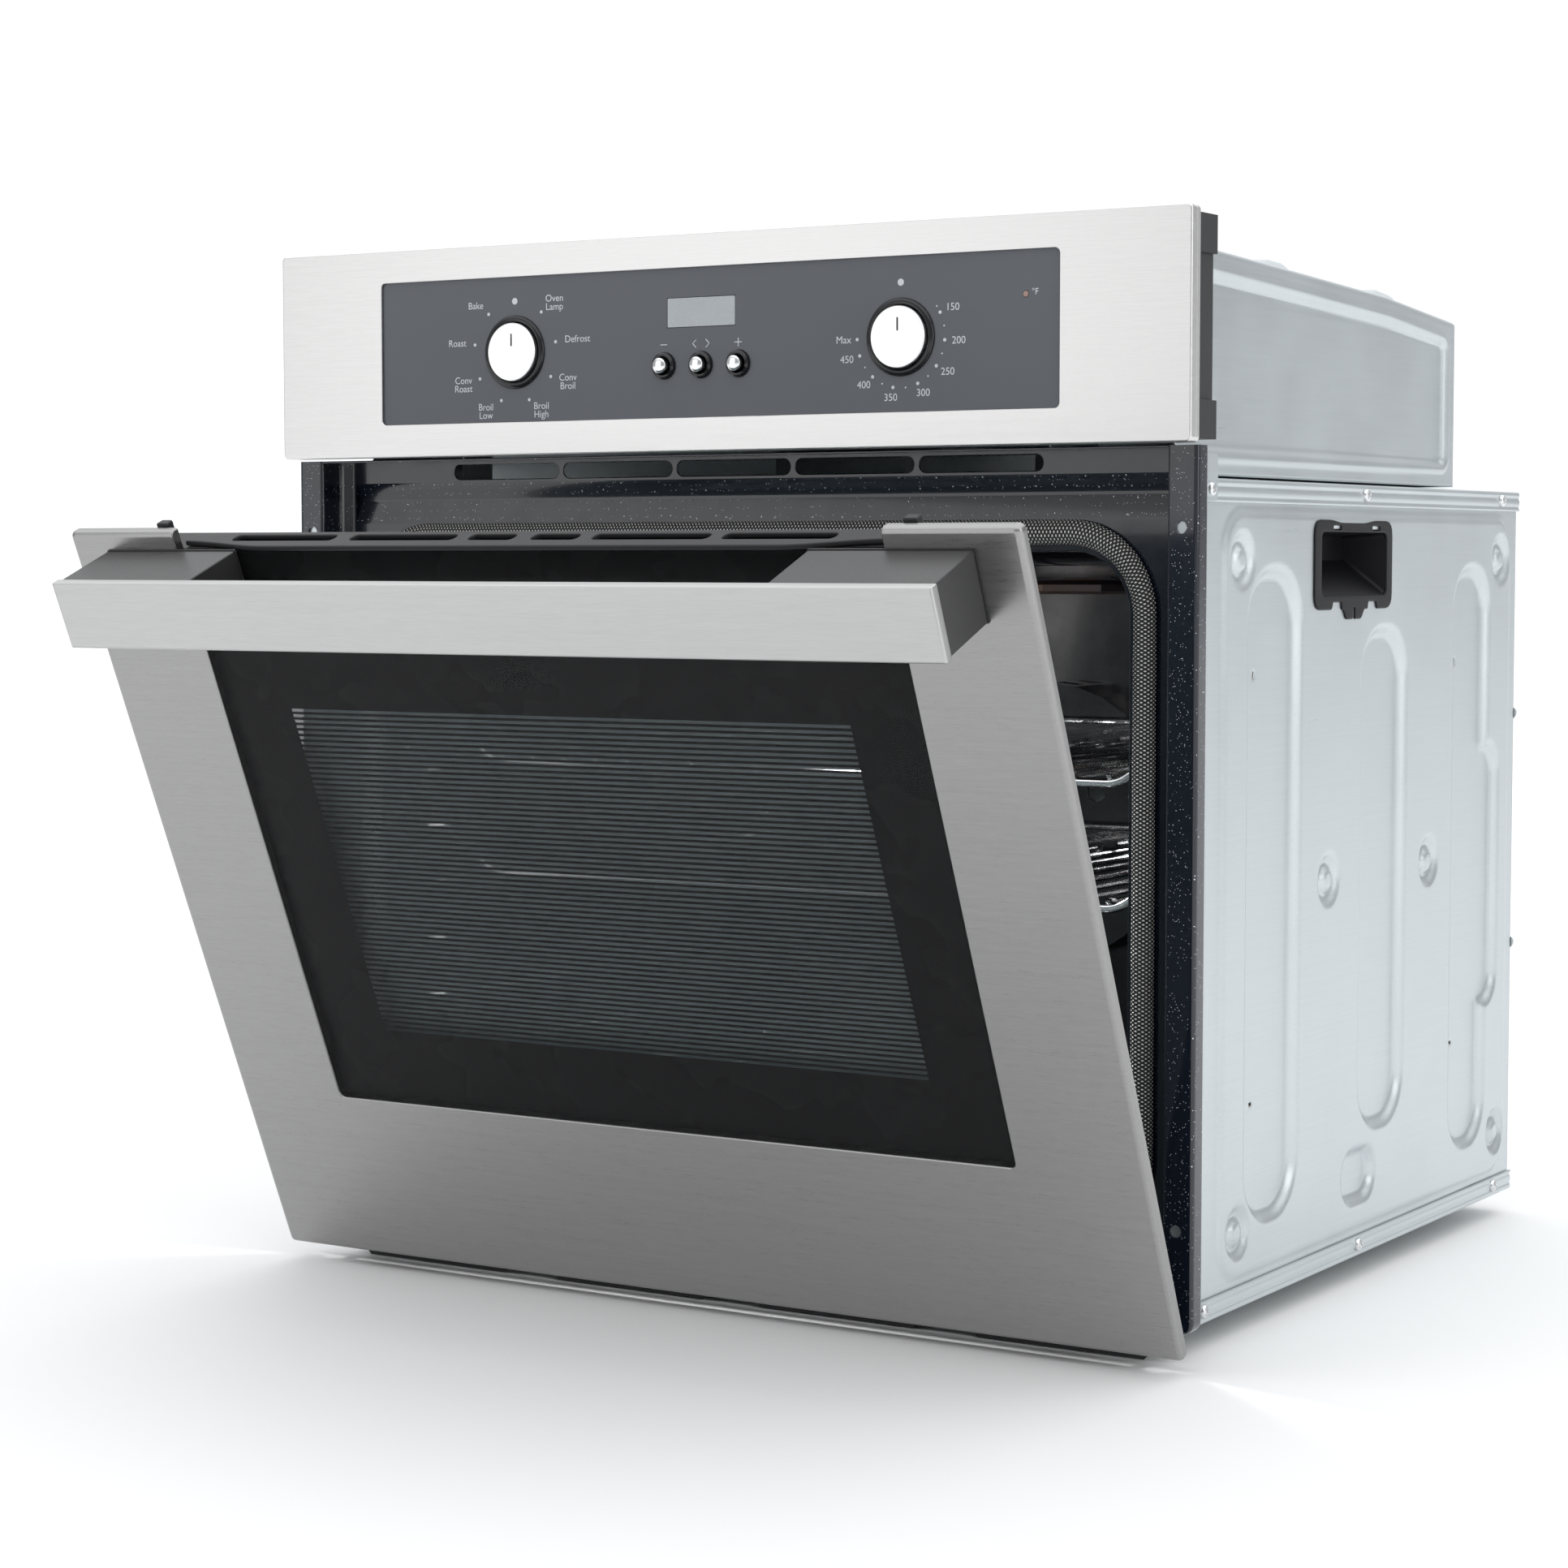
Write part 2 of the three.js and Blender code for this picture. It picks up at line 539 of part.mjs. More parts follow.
function upperCover() {
  const frontTop = 573;
  const top = [[HOUSING_FRONT, frontTop], [200, 567], [330, 561.5], [HOUSING_BACK, 552.3]];
  const low = BODY_TOP + GAP;
  const side = [[HOUSING_FRONT, low], [HOUSING_BACK, low], ...top.slice().reverse()];
  const inner = [[HOUSING_FRONT - 1, low - 1], [HOUSING_BACK - SHEET, low - 1],
    ...top.map(([y, z]) => [Math.min(y, HOUSING_BACK - SHEET), z - SHEET]).reverse(),
    [HOUSING_FRONT - 1, frontTop - SHEET]];
  const shell = cut(
    alongX(outline(side), -HOUSING_HALF, HOUSING_HALF),
    alongX(outline(inner), -HOUSING_HALF + SHEET, HOUSING_HALF - SHEET));
  const ventHalf = 22;
  const exhaust = [-60, 0, 60].map((x) => block(
    x - ventHalf, x + ventHalf, HOUSING_BACK - 3, HOUSING_BACK + 1, 500, 508));
  piece('upper_cover', cut(shell, ...exhaust), ...GALVANISED);
}

// ---------------------------------------------------------------- cavity

function cavityLiner() {
  const front = RECESS_Y + SHEET + GAP;
  const shell = alongY(cavityOutline(SHEET), front, CAVITY_BACK + SHEET, 3);
  const inside = alongY(cavityOutline(0), front - 1, CAVITY_BACK, 3);
  const flange = alongY(roundRect(-266, 266, 42, LINER_TOP, 20), front, front + SHEET);
  const through = [CAVITY_BACK - 1, CAVITY_BACK + 3];
  const shaftHole = rodY(0, FAN_Z, 7, ...through, 12);
  const lampHole = rodY(...LAMP_PLACE, 17, ...through, 16);
  const elementHoles = [-BROIL_LEG, BROIL_LEG].map((x) => rodY(x, BROIL_Z, ROD_RADIUS + 1.5, ...through, 10));
  piece('cavity_liner', cut(join(shell, flange), inside, shaftHole, lampHole, ...elementHoles), ...ENAMEL);
}

function insulationWrap() {
  const front = RECESS_Y + 2 * SHEET + 2 * GAP;
  const slack = 0.5;
  const top = LINER_TOP + 4;
  const outer = slab(WOOL_HALF, front, WOOL_BACK, 43, top);
  const inside = alongY(cavityOutline(SHEET + slack), front - 1, CAVITY_BACK + SHEET + slack, 3);
  const through = [440, WOOL_BACK + 2];
  const motorHole = rodY(0, FAN_Z, 52, ...through, 20);
  const lampHole = rodY(...LAMP_PLACE, 22, ...through, 12);
  const legHole = slab(BROIL_LEG + 10, ...through, BROIL_Z - 8, BROIL_Z + 8);
  const gripSpace = block(BODY_HALF - GRIP_DEPTH - 2.6, WOOL_HALF + 1,
    GRIP.y0 + 2, GRIP.y1 - 2, GRIP.z0 + 1, top + 1);
  const holes = [inside, motorHole, lampHole, legHole, gripSpace, mirrored(gripSpace)];
  piece('insulation_wrap', cut(outer, ...holes), 0xd9c98a, 0.9, 0);
}

/** Chrome ladder that carries the racks on one side wall. */
function rackRail(name, side) {
  const x = RUNNER_X + 3.3;
  const runnerDrop = 4.7;
  const bottom = 86;
  const top = 330;
  const uprights = RAIL_UPRIGHTS.map((y) => rodZ(x, y, 1.8, bottom, top, 5));
  const runners = RACK_LEVELS.map((z) => rodY(RUNNER_X, z - runnerDrop, 2, 60, 412, 5));
  const feet = [RAIL_UPRIGHTS[0], RAIL_UPRIGHTS[3]].flatMap((y) => [bottom + 12, top - 12].map(
    (z) => rodX(y, z, 2.5, x, CAVITY_HALF - GAP, 5)));
  const right = join(...uprights, ...runners, ...feet);
  piece(name, side > 0 ? right : mirrored(right), ...CHROME);
}

/** Sliding wire rack with a raised stop at its back. */
function wireRack(name, z) {
  const frameRadius = 2.4;
  const stopRadius = 2;
  const barRadius = 1.6;
  const barPitch = 23;
  const edge = RACK_HALF + 6.5;
  const stop = z + 17.8;
  const sideRails = [-edge, edge].map((x) => rodY(x, z, frameRadius, RACK_FRONT, RACK_BACK, 6));
  const front = rodX(RACK_FRONT + 2, z, frameRadius, -edge, edge, 6);
  const back = rodX(RACK_BACK - 2, z, frameRadius, -edge, edge, 6);
  const raised = rodX(RACK_BACK - 2, stop, stopRadius, -RACK_HALF, RACK_HALF, 5);
  const posts = [-RACK_HALF, 0, RACK_HALF].map((x) => rodZ(x, RACK_BACK - 2, stopRadius, z, stop, 5));
  const grid = [];
  for (let n = -9; n <= 9; n += 1) {
    grid.push(rodY(n * barPitch, z + 1.8, barRadius, RACK_FRONT + 1, RACK_BACK - 1, 4));
  }
  piece(name, join(front, ...sideRails, back, raised, ...posts, ...grid), ...CHROME);
}

/** A path at one height from its left half, its middle points and its mirrored right half. */
const symmetric = (leftHalf, middle, z) => [
  ...leftHalf, ...middle, ...leftHalf.map(([x, y]) => [-x, y]).reverse()].map(([x, y]) => [x, y, z]);

/** Sheathed heating rod bent back and forth under the roof of the cavity. */
function broilElement() {
  const leg = [[-BROIL_LEG, 448], [-BROIL_LEG, 400], [-BROIL_LEG, 385]];
  const outerBend = [[-60, 372], [-185, 370], [-205, 350], [-205, 120], [-185, 100]];
  const innerBend = [[-130, 100], [-112, 120], [-112, 300], [-92, 320], [-30, 320], [-12, 300], [-12, 120]];
  const leftHalf = [...leg, ...outerBend, ...innerBend];
  piece('broil_element', wire(symmetric(leftHalf, [[0, 104]], BROIL_Z), ROD_RADIUS, 70), ...COPPER_TONE);
}

/** Heating rod under the cavity floor, in the space above the base pan. */
function bakeElement() {
  const leftHalf = [[-40, 500], [-40, 440], [-60, 425], [-170, 420], [-190, 400], [-190, 150], [-170, 130]];
  piece('bake_element', wire(symmetric(leftHalf, [], BAKE_Z), ROD_RADIUS, 44), ...COPPER_TONE);
}

function convectionFan() {
  const coverRadius = 92;
  const front = 414;
  const cover = rodY(0, FAN_Z, coverRadius, front, front + 2, 28);
  const skirt = cut(
    rodY(0, FAN_Z, coverRadius, front, CAVITY_BACK - GAP, 28),
    rodY(0, FAN_Z, coverRadius - 1.5, front - 1, CAVITY_BACK + 1, 28));
  const grille = [];
  for (let ring = 0; ring < 2; ring += 1) {
    const radius = 20 + ring * 22;
    for (let n = 0; n < 6; n += 1) {
      const turn = (n + ring / 2) * Math.PI / 3;
      grille.push(rodY(radius * Math.cos(turn), FAN_Z + radius * Math.sin(turn), 7, front - 1, front + 3, 6));
    }
  }
  const outlets = [0, 90, 180, 270].map((degrees) => block(60, 100, 424, 436, -16, 16)
    .rotate([0, degrees, 0]).translate([0, 0, FAN_Z]));
  piece('fan_cover', cut(join(cover, skirt), ...grille, ...outlets), ...ENAMEL);

  const wheelRadius = 70;
  const plateFront = 438;
  const shaftRadius = 3;
  const hub = rodY(0, FAN_Z, 12, 421, 441, 12);
  const plate = rodY(0, FAN_Z, wheelRadius, plateFront, plateFront + 1.5, 24);
  const blades = Array.from({ length: BLADES }, (_, n) => block(10, wheelRadius, 422, plateFront + 0.5, -1, 1)
    .rotate([0, n * 360 / BLADES, 0]).translate([0, 0, FAN_Z]));
  const bore = rodY(0, FAN_Z, shaftRadius + GAP, 425, 442, 10);
  piece('convection_fan_wheel', cut(join(hub, plate, ...blades), bore), ...GALVANISED);

  const canFront = 452;
  const can = rodY(0, FAN_Z, 38, canFront, 505, 20);
  const shaft = rodY(0, FAN_Z, shaftRadius, 427, canFront + 1, 10);
  const feet = block(-48, 48, canFront - 3, canFront + 1, FAN_Z - 12, FAN_Z + 12);
  const relief = rodY(0, FAN_Z, 20, canFront - 4, canFront - 1, 12);
  piece('convection_fan_motor', cut(join(can, feet), relief).add(shaft), ...GALVANISED);
}

function ovenLamp() {
  const profile = [[0, 432], [10, 433], [15, 438], [15, CAVITY_BACK], [15, 462], [0, 462]];
  const lens = new THREE.LatheGeometry(profile.map(([r, y]) => new THREE.Vector2(r, y)), 16);
  lens.translate(LAMP_PLACE[0], 0, LAMP_PLACE[1]);
  piece('oven_lamp', solid(lens), 0xeeeadd, 0.1, 0);
}

// ---------------------------------------------------------------- cooling

function coolingBlower() {
  const low = BODY_TOP + GAP;
  const front = BRACKET_FRONT;
  const narrow = 92;
  const shoulder = 70; // the duct narrows from its shoulder to its neck
  const neck = 225;
  const back = 385;
  const plan = (grow) => outline([
    [-DUCT_HALF - grow, front], [DUCT_HALF + grow, front], [DUCT_HALF + grow, shoulder],
    [narrow + grow, neck + grow], [narrow + grow, back + grow], [-narrow - grow, back + grow],
    [-narrow - grow, neck + grow], [-DUCT_HALF - grow, shoulder]]);
  const shell = alongZ(plan(0), low, DUCT_TOP);
  const inside = alongZ(plan(-SHEET), low + SHEET, DUCT_TOP - SHEET);
  const mouth = slab(DUCT_HALF - SHEET, front - 1, front + 3, low + SHEET, DUCT_TOP - SHEET);
  const inlet = rodZ(0, BLOWER_Y, 70, DUCT_TOP - 3, DUCT_TOP + 1, 24);
  piece('air_duct', cut(shell, inside, mouth, inlet), ...GALVANISED);

  const scrollTop = 524;
  const scroll = rodZ(0, BLOWER_Y, 84, DUCT_TOP + GAP, scrollTop, 28);
  const chamber = rodZ(0, BLOWER_Y, 82, DUCT_TOP - 1, scrollTop - 1.5, 28);
  const eye = rodZ(0, BLOWER_Y, 40, scrollTop - 4, scrollTop + 2, 20);
  piece('blower_housing', cut(scroll, chamber, eye), ...GALVANISED);

  const wheelLow = DUCT_TOP + 6;
  const wheelHigh = 514;
  const wheelRadius = 68;
  const shaftRadius = 2.5;
  const hub = rodZ(0, BLOWER_Y, 10, wheelLow, wheelHigh - 2, 12);
  const disc = rodZ(0, BLOWER_Y, wheelRadius, wheelLow, wheelLow + 1.5, 24);
  const vanes = Array.from({ length: BLADES }, (_, n) => block(52, wheelRadius, -1, 1, wheelLow + 1, wheelHigh)
    .rotate([0, 0, n * 360 / BLADES]).translate([0, BLOWER_Y, 0]));
  const rim = cut(
    rodZ(0, BLOWER_Y, wheelRadius, wheelHigh - 2.5, wheelHigh, 24),
    rodZ(0, BLOWER_Y, wheelRadius - 8, wheelHigh - 3, wheelHigh + 1, 24));
  const hubBore = rodZ(0, BLOWER_Y, shaftRadius + GAP, wheelHigh - 14, wheelHigh - 1, 10);
  piece('cooling_blower_wheel', cut(join(hub, disc, ...vanes, rim), hubBore), ...GALVANISED);

  const armLow = scrollTop + 3;
  const armHalf = 4;
  const armReach = 62;
  const legPlace = 60;
  const can = rodZ(0, BLOWER_Y, 28, armLow, armLow + 25, 20);
  const shaft = rodZ(0, BLOWER_Y, shaftRadius, wheelHigh - 11, armLow + 1, 10);
  const arms = [
    block(-armHalf, armHalf, BLOWER_Y - armReach, BLOWER_Y + armReach, armLow, armLow + 2),
    block(-armReach, armReach, BLOWER_Y - armHalf, BLOWER_Y + armHalf, armLow, armLow + 2)];
  const legs = [[0, legPlace], [0, -legPlace], [legPlace, 0], [-legPlace, 0]].map(
    ([x, y]) => rodZ(x, BLOWER_Y + y, armHalf, scrollTop + GAP, armLow + 1, 8));
  piece('cooling_blower_motor', join(can, shaft, ...arms, ...legs), ...GALVANISED);
}

// ---------------------------------------------------------------- door, drawn closed and turned to rest

const door = new THREE.Group();
door.position.set(0, PIVOT_Y, PIVOT_Z);
door.rotation.x = DOOR_AJAR;
oven.add(door);
const leaf = new THREE.Group();
leaf.position.set(0, -PIVOT_Y, -PIVOT_Z);
door.add(leaf);

const CAP_Z = DOOR_BOTTOM + 456.5;
const GLASS_TOP = CAP_Z - 3.3;
const CAP_HALF = PANEL_HALF - 1;
const CAP_BOW = 160; // half width of the cap's straight front edge
const CAP_SLOTS = [[-190, -120], [-109, -40], [-31, -2], [9, 38], [47, 117], [125, 190]];
const PANE = 4; // thickness of the outer and of the inner glass

function doorSkin() {
  const back = DOOR_FRONT + SKIN_DEPTH;
  const tray = alongY(roundRect(-FRONT_HALF, FRONT_HALF, DOOR_BOTTOM, DOOR_TOP, 3), DOOR_FRONT, back);
  const hollow = slab(FRONT_HALF - 1, DOOR_FRONT + 1, back + 1, DOOR_BOTTOM + 1, DOOR_TOP - 1);
  const glassWindow = slab(PANEL_HALF, DOOR_FRONT - 1, back + 1, DOOR_BOTTOM + DOOR_GLASS_SILL, DOOR_TOP + 1);
  piece('door_skin', cut(tray, hollow, glassWindow), ...STAINLESS, leaf);
}

function doorGlasses() {
  const front = DOOR_FRONT + 1 + GAP;
  const outer = slab(FRONT_HALF - 2.5, front, front + PANE, DOOR_BOTTOM + 3, GLASS_TOP);
  const middle = slab(232, 10, 13, 40, 430);
  const inner = slab(268, DOOR_BACK - PANE, DOOR_BACK, 22, 446);
  piece('door_outer_glass', outer, ...GLASS, leaf);
  piece('door_middle_glass', middle, ...GLASS, leaf);
  piece('door_inner_glass', inner, ...GLASS, leaf);
}

function doorLiner() {
  const half = 272;
  const front = DOOR_FRONT + 1 + PANE + 2 * GAP;
  const back = DOOR_BACK - PANE - GAP;
  const low = DOOR_BOTTOM + 14;
  const shell = slab(half, front, back, low, GLASS_TOP);
  const hollow = slab(half - SHEET, front - 1, back - SHEET, low + SHEET, GLASS_TOP - SHEET);
  const view = slab(205, front, back + 1, 82, 400);
  const airway = [5, 16];
  const vents = CAP_SLOTS.map(([x0, x1]) => block(x0, x1, ...airway, GLASS_TOP - 3, GLASS_TOP + 1));
  const inletHalf = 40;
  const inlets = [-150, -50, 50, 150].map((x) => block(
    x - inletHalf, x + inletHalf, ...airway, low - 1, low + 3));
  const notchHalf = 10.5;
  const hingeNotches = [-HINGE_X, HINGE_X].map((x) => block(
    x - notchHalf, x + notchHalf, front - 1, back + 1, low - 1, low + 12));
  piece('door_liner', cut(shell, hollow, view, ...vents, ...inlets, ...hingeNotches), ...BLACK_PLASTIC, leaf);
}

function doorVentCap() {
  const back = DOOR_FRONT + 20;
  const ends = DOOR_FRONT + 8; // the cap's front edge at its ends
  const front = DOOR_FRONT + 0.4;
  const bend = 190;
  const plan = new THREE.Shape();
  plan.moveTo(-CAP_HALF, back);
  plan.lineTo(-CAP_HALF, ends);
  plan.bezierCurveTo(-bend, ends, -bend, front, -CAP_BOW, front);
  plan.lineTo(CAP_BOW, front);
  plan.bezierCurveTo(bend, front, bend, ends, CAP_HALF, ends);
  plan.lineTo(CAP_HALF, back);
  const cap = alongZ(plan, CAP_Z - 3, CAP_Z, 6);
  const slots = CAP_SLOTS.map(([x0, x1]) => alongZ(
    roundRect(x0, x1, ends + 0.5, ends + 8, 2.5), CAP_Z - 4, CAP_Z + 1));
  piece('door_vent_cap', cut(cap, ...slots), ...BLACK_PLASTIC, leaf);
}

function doorHandle() {
  const front = DOOR_FRONT - HANDLE_REACH;
  const back = front + HANDLE_THICKNESS;
  const chamfer = 2.2;
  const section = outline([[back, HANDLE_LOW], [back, HANDLE_HIGH], [front + chamfer, HANDLE_HIGH],
    [front, HANDLE_HIGH - chamfer], [front, HANDLE_LOW + chamfer], [front + chamfer, HANDLE_LOW]]);
  piece('handle_bar', alongX(section, -HANDLE_HALF, HANDLE_HALF), ...STAINLESS, leaf);
  const post = block(POST_INNER, POST_OUTER, back + GAP, DOOR_FRONT - GAP, HANDLE_LOW + 0.5, HANDLE_HIGH - 0.5);
  piece('right_handle_post', post, ...SATIN_GREY, leaf);
  piece('left_handle_post', mirrored(post), ...SATIN_GREY, leaf);
}

/** Channel in the door that turns on the hinge arm's eye by its riveted pin. */
function hingeCase(name, x) {
  const half = 9;
  const sheet = 1.5;
  const front = 2;
  const top = 200;
  const cheek = (x0) => join(
    block(x0, x0 + sheet, front, 20, 13.5, top),
    block(x0, x0 + sheet, front, 12.5, 1.5, 14));
  const web = block(x - half, x + half, front, front + sheet, 15, top);
  const pin = rodX(PIVOT_Y, PIVOT_Z, PIN_RADIUS, x - half, x + half, 14);
  piece(name, join(cheek(x - half), cheek(x + half - sheet), web, pin), ...GALVANISED, leaf);
}

/** Steel arm fixed in the body, whose eye carries the door's pin. */
function hingeArm(name, x) {
  const half = 2;
  const riser = [28.6, 33]; // the arm's rise in front of the frame
  const shank = [18, 33]; // the arm's height behind the frame
  const back = 75;
  const profile = outline([
    [PIVOT_Y, PIVOT_Z - 1], [riser[1], PIVOT_Z - 1], [riser[1], shank[0]], [back, shank[0]],
    [back, shank[1]], [riser[0], shank[1]], [riser[0], PIVOT_Z + 5], [PIVOT_Y, PIVOT_Z + 5]]);
  const eye = rodX(PIVOT_Y, PIVOT_Z, 2 * PIN_RADIUS, x - half, x + half, 18);
  const bore = rodX(PIVOT_Y, PIVOT_Z, PIN_RADIUS + GAP, x - half - 1, x + half + 1, 14);
  piece(name, cut(join(alongX(profile, x - half, x + half), eye), bore), ...GALVANISED);
}

// ---------------------------------------------------------------- assembly

controlFascia();
fasciaCarrier();
controlPanel();
for (const [word, x] of [['selector', -KNOB_X], ['thermostat', KNOB_X]]) {
  knobCollar(`${word}_collar`, x);
  knobShaft(`${word}_shaft`, x);
  popOutKnob(`${word}_knob`, x);
}
rotaryUnit('selector_switch', -KNOB_X, 21, 74);
rotaryUnit('thermostat', KNOB_X, 18, 70);
buttonsAndTimer();
controlBracket();

frontFrame();
doorGasket();
bottomVentTrim();
for (const [word, side] of [['left', -1], ['right', 1]]) {
  sidePanel(`${word}_side_panel`, side);
  carryGrip(`${word}_carry_grip`, side);
  rackRail(`${word}_rack_rail`, side);
  hingeArm(`${word}_hinge_arm`, side * HINGE_X);
  hingeCase(`${word}_hinge_case`, side * HINGE_X);
}
basePan();
topPlate();
rearPanel();
terminalBox();
upperCover();

cavityLiner();
insulationWrap();
wireRack('upper_rack', UPPER_RACK_Z);
wireRack('lower_rack', LOWER_RACK_Z);
broilElement();
bakeElement();
convectionFan();
ovenLamp();
coolingBlower();

doorSkin();
doorGlasses();
doorLiner();
doorVentCap();
doorHandle();

export default group;
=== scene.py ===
"""Built-in wall oven with its door ajar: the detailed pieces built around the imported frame.

Inside the classes, lengths are millimetres. x is measured from the middle plane, y from the front face
of the control fascia and z from the underside of the body. Door pieces are given as if the door were
closed, and `Space.DOOR` turns them to the door's rest angle.
"""

import json
import logging
import math
from dataclasses import dataclass, field
from enum import Enum
from typing import Callable, Iterable, Sequence

import bmesh
import bpy
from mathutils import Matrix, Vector

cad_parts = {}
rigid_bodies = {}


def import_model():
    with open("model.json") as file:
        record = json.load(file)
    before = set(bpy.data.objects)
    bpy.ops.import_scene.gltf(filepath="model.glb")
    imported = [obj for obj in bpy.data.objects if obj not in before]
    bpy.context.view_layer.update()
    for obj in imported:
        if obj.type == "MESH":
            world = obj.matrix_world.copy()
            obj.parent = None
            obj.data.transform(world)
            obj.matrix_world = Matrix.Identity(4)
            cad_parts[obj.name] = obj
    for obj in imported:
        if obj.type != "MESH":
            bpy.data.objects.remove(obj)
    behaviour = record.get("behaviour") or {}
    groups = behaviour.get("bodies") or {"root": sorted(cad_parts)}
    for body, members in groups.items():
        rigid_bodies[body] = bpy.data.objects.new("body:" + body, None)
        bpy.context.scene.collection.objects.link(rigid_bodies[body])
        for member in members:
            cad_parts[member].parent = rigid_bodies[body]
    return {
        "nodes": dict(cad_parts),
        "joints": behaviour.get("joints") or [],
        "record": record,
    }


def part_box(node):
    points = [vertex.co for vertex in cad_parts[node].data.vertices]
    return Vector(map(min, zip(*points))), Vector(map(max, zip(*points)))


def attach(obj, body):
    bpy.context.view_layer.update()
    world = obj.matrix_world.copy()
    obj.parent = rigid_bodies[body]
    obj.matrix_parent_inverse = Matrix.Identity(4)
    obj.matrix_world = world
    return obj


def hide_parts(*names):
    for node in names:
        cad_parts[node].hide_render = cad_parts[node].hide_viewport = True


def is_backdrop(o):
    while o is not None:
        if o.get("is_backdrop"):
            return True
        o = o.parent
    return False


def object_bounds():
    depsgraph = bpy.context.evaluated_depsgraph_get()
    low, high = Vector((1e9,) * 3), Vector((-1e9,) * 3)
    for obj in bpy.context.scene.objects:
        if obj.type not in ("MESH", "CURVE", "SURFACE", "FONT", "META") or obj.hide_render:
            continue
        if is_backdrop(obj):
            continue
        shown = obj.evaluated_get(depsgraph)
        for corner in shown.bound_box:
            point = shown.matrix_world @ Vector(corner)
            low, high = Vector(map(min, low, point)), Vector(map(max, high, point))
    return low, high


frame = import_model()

Point = tuple[float, float, float]
Flat = tuple[float, float]
Shape = tuple[list[Point], list[tuple[int, ...]]]
Box = tuple[float, float, float, float]
Lips = tuple[tuple[Flat, ...], tuple[Flat, ...]]

MM = 0.001
WELD_DISTANCE = 1e-6
CREASE = 32.0
SOFTENED_FROM = 40.0
FLAT_WEIGHT = 90
log = logging.getLogger("wall_oven")


# ---------------------------------------------------------------- places

class Space(Enum):
    """Which assembly a piece is drawn in."""

    BODY = "body"
    DOOR = "door"


def joint(name: str) -> dict:
    """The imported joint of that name."""
    return next(entry for entry in frame["joints"] if entry["name"] == name)


def low(node: str) -> Vector:
    """Lowest corner of a CAD node, in millimetres from the fascia's front."""
    return Vector(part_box(node)[0]) / MM - Vector((0, FRONT_Y, 0))


def high(node: str) -> Vector:
    """Highest corner of a CAD node, in millimetres from the fascia's front."""
    return Vector(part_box(node)[1]) / MM - Vector((0, FRONT_Y, 0))


FRONT_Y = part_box("control_fascia")[0][1] / MM
HINGE = joint("door_hinge")
PIVOT = Vector(HINGE["pos_m"]) / MM - Vector((0, FRONT_Y, 0))
AJAR = math.radians(-HINGE["range_deg"][0])
FRONT_HALF = high("control_fascia").x
BODY_HALF = high("top_plate").x
BODY_TOP = high("top_plate").z
BODY_FRONT = low("top_plate").y
BODY_BACK = high("top_plate").y

# The opening of the oven chamber: its limits in x and z, and its corner radius.
MOUTH: Box = (-247.0, 247.0, 58.0, 412.0)
MOUTH_RADIUS = 34.0


def to_frame(point: Sequence[float], space: Space) -> Vector:
    """Turns a drawn point into the frame's metres.

    Args:
        point: x, y and z in millimetres.
        space: the assembly that the point is drawn in.

    Returns:
        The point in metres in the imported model's frame.
    """
    x, y, z = point
    if space is Space.DOOR:
        behind, above = y - PIVOT.y, z - PIVOT.z
        y = PIVOT.y + behind * math.cos(AJAR) - above * math.sin(AJAR)
        z = PIVOT.z + behind * math.sin(AJAR) + above * math.cos(AJAR)
    return Vector((x, y + FRONT_Y, z)) * MM


# ---------------------------------------------------------------- finishes

# Most of a noise texture's values lie in this span.
NOISE_SPAN = (0.3, 0.7)


